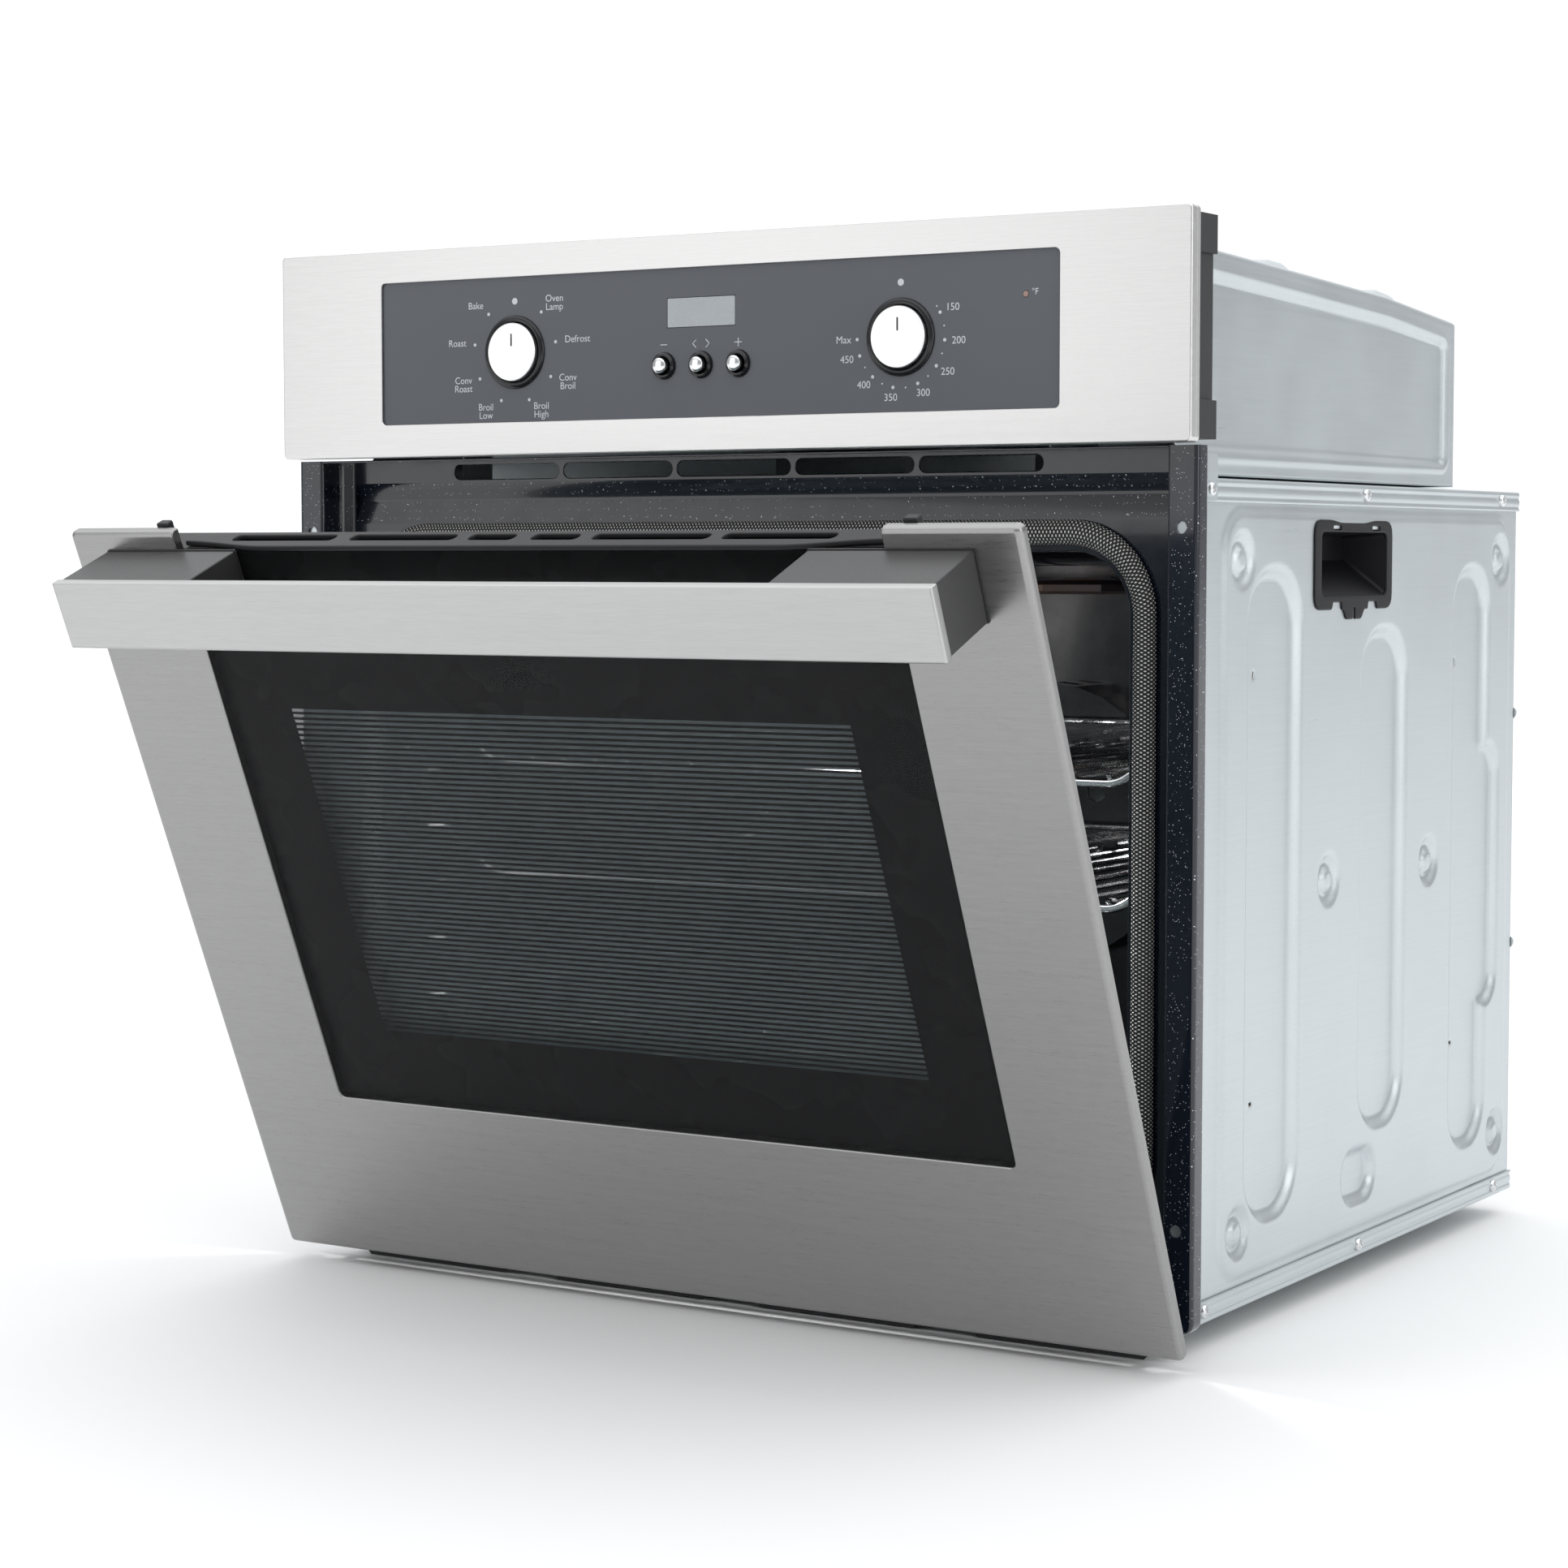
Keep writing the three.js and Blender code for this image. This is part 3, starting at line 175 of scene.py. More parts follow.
class NodePad:
    """A material's node tree with short ways to add its textures."""

    def __init__(self, name: str) -> None:
        """Starts a material with one Principled shader."""
        self.material = bpy.data.materials.new(name)
        self.material.use_nodes = True
        self.tree = self.material.node_tree
        self.shader = self.tree.nodes["Principled BSDF"]
        self.place = self.node("ShaderNodeTexCoord").outputs["Object"]

    def node(self, kind: str) -> bpy.types.Node:
        """Adds a node of that kind."""
        return self.tree.nodes.new(kind)

    def wire(self, output: bpy.types.NodeSocket, target: bpy.types.NodeSocket) -> None:
        """Links an output to an input."""
        self.tree.links.new(output, target)

    def set(self, **values: float | tuple) -> None:
        """Sets shader sockets, their names written with underscores."""
        for name, value in values.items():
            socket = self.shader.inputs[name.replace("_", " ").replace("Ior", "IOR")]
            socket.default_value = (*value, 1.0) if isinstance(value, tuple) else value

    def stretched(self, stretch: Point) -> bpy.types.NodeSocket:
        """Object coordinates scaled by a factor for each axis."""
        mapping = self.node("ShaderNodeMapping")
        mapping.inputs["Scale"].default_value = stretch
        self.wire(self.place, mapping.inputs["Vector"])
        return mapping.outputs["Vector"]

    def noise(self, scale: float, detail: float = 3.0, stretch: Point = (1, 1, 1)) -> bpy.types.NodeSocket:
        """Fractal noise in object space."""
        noise = self.node("ShaderNodeTexNoise")
        noise.inputs["Scale"].default_value = scale
        noise.inputs["Detail"].default_value = detail
        self.wire(self.stretched(stretch), noise.inputs["Vector"])
        return noise.outputs[0]

    def cells(self, scale: float) -> bpy.types.Node:
        """A Voronoi texture in object space."""
        cells = self.node("ShaderNodeTexVoronoi")
        cells.inputs["Scale"].default_value = scale
        self.wire(self.place, cells.inputs["Vector"])
        return cells

    def math(self, operation: str, first: object, second: object = 0.0) -> bpy.types.NodeSocket:
        """A math node whose inputs are sockets or numbers."""
        node = self.node("ShaderNodeMath")
        node.operation = operation
        for socket, value in zip(node.inputs, (first, second)):
            if isinstance(value, bpy.types.NodeSocket):
                self.wire(value, socket)
            else:
                socket.default_value = value
        return node.outputs[0]

    def spread(self, value: bpy.types.NodeSocket, start: float, end: float, low_to: float,
               high_to: float) -> bpy.types.NodeSocket:
        """Maps a value's range onto another, clamped."""
        node = self.node("ShaderNodeMapRange")
        for name, number in zip(("From Min", "From Max", "To Min", "To Max"), (start, end, low_to, high_to)):
            node.inputs[name].default_value = number
        self.wire(value, node.inputs["Value"])
        return node.outputs["Result"]

    def mix(self, factor: bpy.types.NodeSocket, dark: Point, light: Point) -> bpy.types.NodeSocket:
        """Blends two colours by a factor."""
        node = self.node("ShaderNodeMix")
        node.data_type = "RGBA"
        self.wire(factor, node.inputs[0])
        node.inputs[6].default_value = (*dark, 1.0)
        node.inputs[7].default_value = (*light, 1.0)
        return node.outputs[2]

    def color(self, output: bpy.types.NodeSocket) -> None:
        """Sends a colour to the shader."""
        self.wire(output, self.shader.inputs["Base Color"])

    def rough(self, output: bpy.types.NodeSocket) -> None:
        """Sends a roughness to the shader."""
        self.wire(output, self.shader.inputs["Roughness"])

    def relief(self, height: bpy.types.NodeSocket, depth: float, strength: float = 1.0) -> None:
        """Raises the surface by a height of that many millimetres."""
        bump = self.node("ShaderNodeBump")
        bump.inputs["Distance"].default_value = depth * MM
        bump.inputs["Strength"].default_value = strength
        self.wire(height, bump.inputs["Height"])
        self.wire(bump.outputs["Normal"], self.shader.inputs["Normal"])


def tinted(color: Point, factor: float) -> Point:
    """A colour made lighter or darker."""
    return tuple(min(1.0, channel * factor) for channel in color)


@dataclass(frozen=True)
class Finish:
    """A surface finish. `slot` is the record's material slot that it belongs to."""

    slot: str
    color: Point
    roughness: float

    def material(self) -> bpy.types.Material:
        """The finish's material, made once."""
        name = f"{type(self).__name__}_{self.slot}_{round(sum(self.color) * 1000)}"
        return bpy.data.materials.get(name) or self.make(NodePad(name)).material

    def make(self, pad: NodePad) -> NodePad:
        """Fills the node tree."""
        raise NotImplementedError

    def drift(self, pad: NodePad, value: bpy.types.NodeSocket, dark: float, light: float) -> None:
        """Lets the colour drift with a texture, between two factors of itself."""
        pad.color(pad.mix(value, tinted(self.color, dark), tinted(self.color, light)))

    def gloss(self, pad: NodePad, value: bpy.types.NodeSocket, less: float, more: float) -> None:
        """Lets the roughness drift with a texture, from a little less to a little more."""
        pad.rough(pad.spread(value, *NOISE_SPAN, self.roughness - less, self.roughness + more))


@dataclass(frozen=True)
class BrushedSteel(Finish):
    """Stainless sheet with a grain of fine scratches running sideways."""

    along: float = 70.0
    across: float = 1500.0

    def make(self, pad: NodePad) -> NodePad:
        """Streaks in colour, gloss and relief."""
        fine = pad.noise(1.0, 4.0, (self.along, self.across, self.across))
        broad = pad.noise(1.0, 2.0, (self.along / 6, self.across / 5, self.across / 5))
        both = pad.math("ADD", pad.math("MULTIPLY", fine, 0.7), pad.math("MULTIPLY", broad, 0.3))
        self.drift(pad, pad.spread(both, *NOISE_SPAN, 0, 1), 0.93, 1.06)
        self.gloss(pad, both, 0.05, 0.07)
        pad.relief(both, 0.012, 0.4)
        pad.set(Metallic=1.0)
        return pad


@dataclass(frozen=True)
class SpeckledEnamel(Finish):
    """Glossy blue-black enamel with fine white specks fired into it."""

    glint: float = 0.95
    speck_color: Point = (0.9, 0.96, 1.0)
    speck_reach: float = 0.15
    # Cells in a metre, and the share of them with no speck.
    scales: tuple[Flat, ...] = ((420.0, 0.78), (800.0, 0.68))

    def make(self, pad: NodePad) -> NodePad:
        """Specks of two sizes over a deep, slightly wavy glaze; each size has a share of empty cells."""
        specks = []
        for scale, empty in self.scales:
            cells = pad.cells(scale)
            near = pad.math("LESS_THAN", cells.outputs["Distance"], self.speck_reach)
            chosen = pad.math("GREATER_THAN", cells.outputs["Color"], empty)
            specks.append(pad.math("MULTIPLY", near, chosen))
        speck = pad.math("MAXIMUM", *specks)
        pad.color(pad.mix(speck, self.color, tinted(self.speck_color, self.glint)))
        self.gloss(pad, pad.noise(90.0), 0.03, 0.05)
        pad.relief(pad.noise(160.0, 1.0), 0.05, 0.3)
        pad.set(Coat_Weight=0.5, Coat_Roughness=0.06)
        return pad


@dataclass(frozen=True)
class ZincSheet(Finish):
    """Zinc-coated sheet steel, satin and pale, with faint clouds and rolling marks."""

    def make(self, pad: NodePad) -> NodePad:
        """Soft clouds, faint spangle and rolling lines."""
        clouds = pad.noise(14.0, 3.0)
        spangle = pad.cells(240.0).outputs["Distance"]
        rolled = pad.noise(1.0, 3.0, (900.0, 18.0, 900.0))
        tone = pad.math("ADD", pad.math("MULTIPLY", clouds, 0.6), pad.math("MULTIPLY", rolled, 0.4))
        self.drift(pad, pad.spread(tone, *NOISE_SPAN, 0, 1), 0.93, 1.05)
        self.gloss(pad, tone, 0.06, 0.06)
        pad.relief(pad.math("ADD", spangle, rolled), 0.012, 0.35)
        pad.set(Metallic=0.8)
        return pad


@dataclass(frozen=True)
class Moulded(Finish):
    """Injection-moulded plastic with a fine spark-eroded grain."""

    grain: float = 2600.0
    shine: float = 0.5

    def make(self, pad: NodePad) -> NodePad:
        """A fine grain and slight variation of tone."""
        grain = pad.noise(self.grain, 2.0)
        self.drift(pad, pad.noise(30.0), 0.85, 1.15)
        self.gloss(pad, grain, 0.05, 0.08)
        pad.relief(grain, 0.02, 0.5)
        pad.set(Specular_Ior_Level=self.shine)
        return pad


@dataclass(frozen=True)
class SatinPaint(Finish):
    """Satin powder coat over metal."""

    metallic: float = 0.0

    def make(self, pad: NodePad) -> NodePad:
        """Fine orange peel and a slight drift of tone."""
        peel = pad.noise(1800.0, 2.0)
        self.drift(pad, pad.noise(9.0, 2.0), 0.92, 1.08)
        self.gloss(pad, peel, 0.04, 0.05)
        pad.relief(peel, 0.015, 0.4)
        pad.set(Metallic=self.metallic)
        return pad


@dataclass(frozen=True)
class Polished(Finish):
    """Polished or spun metal, with faint handling marks."""

    def make(self, pad: NodePad) -> NodePad:
        """A mirror with soft smears."""
        smear = pad.noise(60.0, 4.0)
        self.drift(pad, smear, 0.94, 1.0)
        pad.rough(pad.spread(smear, 0.35, 0.7, self.roughness, self.roughness + 0.08))
        pad.relief(pad.noise(900.0), 0.004, 0.3)
        pad.set(Metallic=1.0)
        return pad


@dataclass(frozen=True)
class Pane(Finish):
    """A sheet of glass, seen through as far as its alpha allows."""

    alpha: float = 0.3
    shine: float = 0.2

    def make(self, pad: NodePad) -> NodePad:
        """A smooth tinted sheet with the faintest smear."""
        smear = pad.noise(12.0, 3.0)
        self.drift(pad, smear, 0.9, 1.1)
        self.gloss(pad, smear, 0.0, 0.03)
        pad.set(Alpha=self.alpha, Specular_Ior_Level=self.shine)
        return pad


@dataclass(frozen=True)
class PrintedBlack(Finish):
    """The black ceramic print fired onto the glass."""

    def make(self, pad: NodePad) -> NodePad:
        """A smooth black with a faint haze."""
        haze = pad.noise(20.0, 3.0)
        self.drift(pad, haze, 0.85, 1.2)
        self.gloss(pad, haze, 0.0, 0.05)
        pad.set(Specular_Ior_Level=0.12)
        return pad


@dataclass(frozen=True)
class Braid(Finish):
    """Glass-fibre sleeve braided with steel wire."""

    bands: float = 460.0
    strands: float = 10.0

    def make(self, pad: NodePad) -> NodePad:
        """Two families of strands that cross each other."""
        uv = pad.node("ShaderNodeSeparateXYZ")
        pad.wire(pad.tree.nodes["Texture Coordinate"].outputs["UV"], uv.inputs[0])
        run = pad.math("MULTIPLY", uv.outputs["X"], self.bands)
        turn = pad.math("MULTIPLY", uv.outputs["Y"], self.strands)
        waves = [pad.math("SINE", pad.math("MULTIPLY", pad.math(way, run, turn), math.tau))
                 for way in ("ADD", "SUBTRACT")]
        weave = pad.math("MULTIPLY", pad.math("ADD", *waves), 0.6)
        # The colour runs from nearly black in the gaps between strands to the sleeve's own colour on their
        # crowns: the dark gaps are painted shade.
        self.drift(pad, pad.spread(weave, 0.2, 0.85, 0, 1), 0.05, 1.0)
        pad.rough(pad.spread(weave, 0, 1, 0.65, self.roughness))
        pad.relief(weave, 0.45, 0.9)
        pad.set(Metallic=0.6)
        return pad


@dataclass(frozen=True)
class Wool(Finish):
    """Matted glass wool."""

    def make(self, pad: NodePad) -> NodePad:
        """Tangled fibres at two scales."""
        tangle = pad.math("ADD", pad.noise(160.0, 6.0), pad.noise(900.0, 4.0))
        self.drift(pad, pad.spread(tangle, 0.7, 1.3, 0, 1), 0.7, 1.15)
        pad.relief(tangle, 2.0, 0.8)
        pad.set(Roughness=self.roughness, Sheen_Weight=0.3)
        return pad


@dataclass(frozen=True)
class HeatTinted(Finish):
    """A metal sheath coloured by heat."""

    blued: Point = (0.12, 0.12, 0.16)

    def make(self, pad: NodePad) -> NodePad:
        """Brown and blue bands of oxide."""
        tone = pad.noise(22.0, 3.0)
        pad.color(pad.mix(pad.spread(tone, 0.35, 0.65, 0, 1), self.color, self.blued))
        self.gloss(pad, tone, 0.08, 0.08)
        pad.relief(pad.noise(1400.0), 0.02, 0.4)
        pad.set(Metallic=0.8)
        return pad


# The door's and the grab bar's copies of the brushed stainless have darker colours than the fascia's, the
# door's darkest: painted shade for how little light each catches.
STAINLESS = BrushedSteel("brushed_stainless", (0.7, 0.695, 0.69), 0.33)
DOOR_STAINLESS_SHADED = BrushedSteel("brushed_stainless", (0.345, 0.342, 0.34), 0.3, 90.0, 2600.0)
BAR_STAINLESS_SHADED = BrushedSteel("brushed_stainless", (0.51, 0.51, 0.505), 0.36)
SATIN_GREY = SatinPaint("satin_grey", (0.088, 0.095, 0.11), 0.36)
POST_GREY = SatinPaint("satin_grey", (0.08, 0.08, 0.081), 0.38, 0.7)
PLASTIC = Moulded("dark_plastic", (0.018, 0.018, 0.02), 0.48)
GRIP_PLASTIC = Moulded("dark_plastic", (0.007, 0.007, 0.009), 0.4, shine=0.2)
GLOSS_BLACK = Moulded("gloss_ring", (0.008, 0.008, 0.01), 0.14, 700.0)
ENAMEL = SpeckledEnamel("enamel", (0.005, 0.008, 0.016), 0.16)
# A darker copy of the enamel with its specks nearly hidden: painted shade for the inside of the chamber and
# the fan cover.
CHAMBER_ENAMEL_SHADED = SpeckledEnamel("enamel", (0.004, 0.004, 0.005), 0.13, 0.02)
ZINC = ZincSheet("galvanised", (0.6, 0.645, 0.665), 0.33)
CHROME = Polished("chrome", (0.86, 0.87, 0.88), 0.1)
KNOB_FACE = Polished("chrome", (0.95, 0.95, 0.95), 0.32)
OUTER_PANE = Pane("black_glass", (0.018, 0.019, 0.02), 0.04, 0.22, 0.16)
# The middle and inner panes' pale grey-green colour is partly the glass's green tint and partly painted
# light: it stands in for the light and reflections seen in the window's gaps.
INNER_PANE_PAINTED_LIGHT = Pane("clear_glass", (0.55, 0.65, 0.67), 0.04, 0.28, 0.3)
PRINT = PrintedBlack("black_glass", (0.012, 0.012, 0.0125), 0.25)
BRAID = Braid("gasket_braid", (0.88, 0.87, 0.85), 0.3)
WOOL = Wool("insulation", (0.72, 0.62, 0.34), 0.9)
HEATED = HeatTinted("heating_rod", (0.22, 0.13, 0.08), 0.42)
CREAM = Moulded("switch_body", (0.7, 0.66, 0.56), 0.5)
BOARD = Moulded("circuit_board", (0.02, 0.13, 0.06), 0.4, 900.0)
DISPLAY = Moulded("display", (0.40, 0.43, 0.45), 0.22, 500.0)
LENS = Moulded("lamp_lens", (0.32, 0.20, 0.18), 0.2, 500.0)
LAMP = Pane("lamp_glass", (0.85, 0.84, 0.78), 0.08, 0.45)
STEEL = SatinPaint("shaft_steel", (0.55, 0.55, 0.55), 0.35, 0.9)
MARKING = SatinPaint("satin_grey", (0.62, 0.64, 0.67), 0.5)
SCREW = Polished("galvanised", (0.78, 0.79, 0.8), 0.22)

BY_SLOT = {finish.slot: finish for finish in (
    STAINLESS, SATIN_GREY, PLASTIC, GLOSS_BLACK, ENAMEL, ZINC, CHROME, OUTER_PANE, INNER_PANE_PAINTED_LIGHT, BRAID, WOOL,
    HEATED, CREAM, BOARD, DISPLAY, LENS, LAMP, STEEL)}


# ---------------------------------------------------------------- shapes

def quarter(parts: int) -> list[float]:
    """Angles from zero to a right angle."""
    return [math.pi / 2 * part / parts for part in range(parts + 1)]


def circle(centre: Flat, radius: float, sides: int) -> list[Flat]:
    """Points round a circle."""
    return [(centre[0] + radius * math.cos(math.tau * step / sides),
             centre[1] + radius * math.sin(math.tau * step / sides)) for step in range(sides)]


def rounded_rectangle(x0: float, x1: float, z0: float, z1: float, radius: float,
                      steps: int = 8) -> list[Flat]:
    """Points round a rectangle with round corners.

    Args:
        x0, x1, z0, z1: the rectangle's sides.
        radius: the corner radius.
        steps: segments in each corner.

    Returns:
        The points, anticlockwise from the lower right corner.
    """
    corners = ((x1 - radius, z0 + radius), (x1 - radius, z1 - radius),
               (x0 + radius, z1 - radius), (x0 + radius, z0 + radius))
    points = []
    for quarter, (cx, cz) in enumerate(corners):
        for step in range(steps + 1):
            turn = math.pi / 2 * (quarter - 1 + step / steps)
            points.append((cx + radius * math.cos(turn), cz + radius * math.sin(turn)))
    return points


def filleted(corners: Sequence[Point], radius: float | Sequence[float], steps: int = 6) -> list[Point]:
    """Rounds a path's inner corners.

    Args:
        corners: the path's corner points.
        radius: the bend's size along each leg, or one size for each inner corner.
        steps: segments in each bend.

    Returns:
        The path's points.
    """
    sizes = [radius] * (len(corners) - 2) if isinstance(radius, (int, float)) else radius
    points = [tuple(corners[0])]
    for before, here, after, size in zip(corners, corners[1:], corners[2:], sizes):
        centre = Vector(here)
        back, ahead = Vector(before) - centre, Vector(after) - centre
        reach = min(size, back.length / 2, ahead.length / 2)
        start, end = centre + back.normalized() * reach, centre + ahead.normalized() * reach
        for step in range(steps + 1):
            t = step / steps
            points.append(tuple(start * (1 - t) ** 2 + centre * 2 * t * (1 - t) + end * t ** 2))
    return points + [tuple(corners[-1])]


def loft(loops: Sequence[Sequence[Point]], ring: bool = False) -> Shape:
    """Skins a run of closed loops.

    Args:
        loops: closed loops with the same number of points.
        ring: joins the last loop to the first instead of capping both ends.

    Returns:
        The vertices and faces of a closed skin.
    """
    count, total = len(loops[0]), len(loops)
    faces = []
    for index in range(total if ring else total - 1):
        here, there = index * count, (index + 1) % total * count
        for corner in range(count):
            after = (corner + 1) % count
            faces.append((here + corner, here + after, there + after, there + corner))
    if not ring:
        faces.append(tuple(reversed(range(count))))
        faces.append(tuple(range((total - 1) * count, total * count)))
    return [point for loop in loops for point in loop], faces


def sheet(rows: Sequence[Sequence[Point]],
          keep: Callable[[int, int], bool] = lambda row, column: True) -> Shape:
    """A grid of quads through rows of points.

    Args:
        rows: rows with the same number of points.
        keep: tells whether the quad at a row and column is kept.

    Returns:
        The vertices and faces of an open sheet.
    """
    width = len(rows[0])
    faces = []
    for row in range(len(rows) - 1):
        for column in range(width - 1):
            if keep(row, column):
                start = row * width + column
                faces.append((start, start + 1, start + width + 1, start + width))
    return [point for row in rows for point in row], faces


def lathe(profile: Sequence[Flat], centre: Flat, sides: int = 64) -> Shape:
    """Turns a closed profile round an axis along y.

    Args:
        profile: radius and y of each point, from one end of the axis to the other or round a closed ring.
        centre: x and z of the axis.
        sides: steps round the axis.

    Returns:
        The turned solid.
    """
    rings = [[(x, y, z) for x, z in circle(centre, radius, sides)] for radius, y in profile]
    return loft(rings, ring=profile[0][0] > 0)


def prism(outline: Sequence[Flat], start: float, end: float) -> Shape:
    """An outline in x and z drawn out along y, for cutting holes."""
    return loft([[(x, y, z) for x, z in outline] for y in (start, end)])


def tube(path: Sequence[Point], radius: float, sides: int = 10, closed: bool = False) -> Shape:
    """A round wire along a path, with slightly domed ends.

    Args:
        path: the middle line's points.
        radius: the wire's radius.
        sides: sides of the section.
        closed: joins the path's ends.

    Returns:
        The wire's solid.
    """
    points = [Vector(point) for point in path]
    count = len(points)
    rings = []
    side = None
    for index, point in enumerate(points):
        before = points[index - 1] if index or closed else point
        after = points[(index + 1) % count] if index < count - 1 or closed else point
        heading = (after - before).normalized()
        if side is None:
            side = heading.orthogonal().normalized()
        side = (side - heading * side.dot(heading)).normalized()
        other = heading.cross(side)
        rings.append([tuple(point + (side * math.cos(a) + other * math.sin(a)) * radius)
                      for a in (math.tau * step / sides for step in range(sides))])
    return loft(rings, ring=closed)


def filled(curve: bpy.types.Curve) -> tuple[list[Vector], list[tuple[int, ...]]]:
    """The points and faces of a filled curve or text, which is removed afterwards."""
    holder = bpy.data.objects.new("outline", curve)
    bpy.context.scene.collection.objects.link(holder)
    mesh = bpy.data.meshes.new_from_object(holder.evaluated_get(bpy.context.evaluated_depsgraph_get()))
    points = [vertex.co.copy() for vertex in mesh.vertices]
    faces = [tuple(face.vertices) for face in mesh.polygons]
    bpy.data.objects.remove(holder)
    bpy.data.curves.remove(curve)
    bpy.data.meshes.remove(mesh)
    return points, faces


def plate(outlines: Sequence[Sequence[Flat]], start: float, end: float, edge: float,
          lay: Callable[[float, float, float], Point]) -> Shape:
    """A flat plate with holes and rounded edges.

    Args:
        outlines: the outer outline and the holes, or several separate outlines.
        start: depth of one face.
        end: depth of the other face.
        edge: radius of the rounded edges.
        lay: turns an outline's two coordinates and a depth into x, y and z.

    Returns:
        The plate's solid.
    """
    curve = bpy.data.curves.new("outline", "CURVE")
    curve.dimensions = "2D"
    curve.fill_mode = "BOTH"
    curve.extrude = (end - start) / 2 - edge
    curve.bevel_depth = edge
    curve.bevel_resolution = 2
    curve.offset = -edge
    for outline in outlines:
        spline = curve.splines.new("POLY")
        spline.points.add(len(outline) - 1)
        for place, (u, v) in zip(spline.points, outline):
            place.co = (u, v, 0, 1)
        spline.use_cyclic_u = True
    points, faces = filled(curve)
    middle = (start + end) / 2
    return [lay(point.x, point.y, middle + point.z) for point in points], faces


def facing_front(u: float, v: float, depth: float) -> Point:
    """Lays an outline in x and z, with its depth along y."""
    return u, depth, v


def facing_side(u: float, v: float, depth: float) -> Point:
    """Lays an outline in y and z, with its depth along x."""
    return depth, u, v


def facing_up(u: float, v: float, depth: float) -> Point:
    """Lays an outline in x and y, with its depth along z."""
    return u, v, depth


def together(shapes: Iterable[Shape]) -> Shape:
    """Several shapes as one."""
    points: list[Point] = []
    faces: list[tuple[int, ...]] = []
    for shape_points, shape_faces in shapes:
        offset = len(points)
        points.extend(shape_points)
        faces.extend(tuple(corner + offset for corner in face) for face in shape_faces)
    return points, faces


def mirrored(shape: Shape) -> Shape:
    """A shape on the other side of the middle plane."""
    points, faces = shape
    return [(-x, y, z) for x, y, z in points], [tuple(reversed(face)) for face in faces]


def inside(u: float, v: float, box: Box, radius: float) -> float:
    """Signed distance to a rounded rectangle, negative inside.

    Args:
        u, v: the point.
        box: the rectangle's low and high u, then its low and high v.
        radius: its corner radius.

    Returns:
        The distance in millimetres.
    """
    du = abs(u - (box[0] + box[1]) / 2) - (box[1] - box[0]) / 2 + radius
    dv = abs(v - (box[2] + box[3]) / 2) - (box[3] - box[2]) / 2 + radius
    return math.hypot(max(du, 0), max(dv, 0)) + min(max(du, dv), 0) - radius


def eased(t: float) -> float:
    """A smooth step from 0 to 1."""
    return t * t * (3 - 2 * t)


def pressed(distance: float, slope: float) -> float:
    """How far a pressed wall has risen, from 0 outside to 1 inside."""
    return eased(min(1.0, max(0.0, 0.5 - distance / slope)))


def shifted(box: Box, shifts: Box) -> Box:
    """A box with each of its limits moved."""
    return tuple(limit + shift for limit, shift in zip(box, shifts))


def steps(start: float, end: float, size: float) -> list[float]:
    """Evenly spaced values from start to end, about size apart."""
    count = max(1, round(abs(end - start) / size))
    return [start + (end - start) * index / count for index in range(count + 1)]


# ---------------------------------------------------------------- pieces

def add_piece(name: str, shape: Shape, finish: Finish, body: str, space: Space = Space.BODY, *,
              stands_for: Sequence[str] = (), closed: bool = True, crease: float = CREASE,
              uvs: Sequence[Sequence[Flat]] | None = None) -> bpy.types.Object:
    """Makes a piece of the oven and lets it ride on its body.

    Args:
        name: the piece's name.
        shape: its vertices and faces in millimetres.
        finish: its finish.
        body: the CAD body that it moves with.
        space: the assembly that it is drawn in.
        stands_for: CAD nodes that it replaces.
        closed: whether it is a solid, whose faces are turned outward.
        crease: the angle in degrees past which an edge stays sharp.
        uvs: texture coordinates of each face's corners.

    Returns:
        The new object.
    """
    points, faces = shape
    mesh = bpy.data.meshes.new(name)
    mesh.from_pydata([to_frame(point, space) for point in points], [], faces)
    if uvs:
        layer = mesh.uv_layers.new(name="run")
        flat = [corner for face in uvs for corner in face]
        layer.data.foreach_set("uv", [number for corner in flat for number in corner])
    work = bmesh.new()
    work.from_mesh(mesh)
    bmesh.ops.remove_doubles(work, verts=work.verts, dist=WELD_DISTANCE)
    if closed:
        bmesh.ops.recalc_face_normals(work, faces=work.faces)
    work.to_mesh(mesh)
    work.free()
    mesh.shade_smooth()
    mesh.set_sharp_from_angle(angle=math.radians(crease))
    piece = bpy.data.objects.new(name, mesh)
    bpy.context.scene.collection.objects.link(piece)
    mesh.materials.append(finish.material())
    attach(piece, body)
    if stands_for:
        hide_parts(*stands_for)
    log.info("%s: %d faces on %s", name, len(mesh.polygons), body)
    return piece


def thicken(piece: bpy.types.Object, thickness: float) -> None:
    """Gives an open sheet its thickness, away from the side that its faces look to."""
    solidify = piece.modifiers.new("thickness", "SOLIDIFY")
    solidify.thickness = thickness * MM
    solidify.offset = -1.0


def soften(piece: bpy.types.Object, radius: float) -> None:
    """Rounds a piece's sharp edges."""
    bevel = piece.modifiers.new("edges", "BEVEL")
    bevel.width = radius * MM
    bevel.segments = 3
    bevel.limit_method = "ANGLE"
    bevel.angle_limit = math.radians(SOFTENED_FROM)
    bevel.harden_normals = True


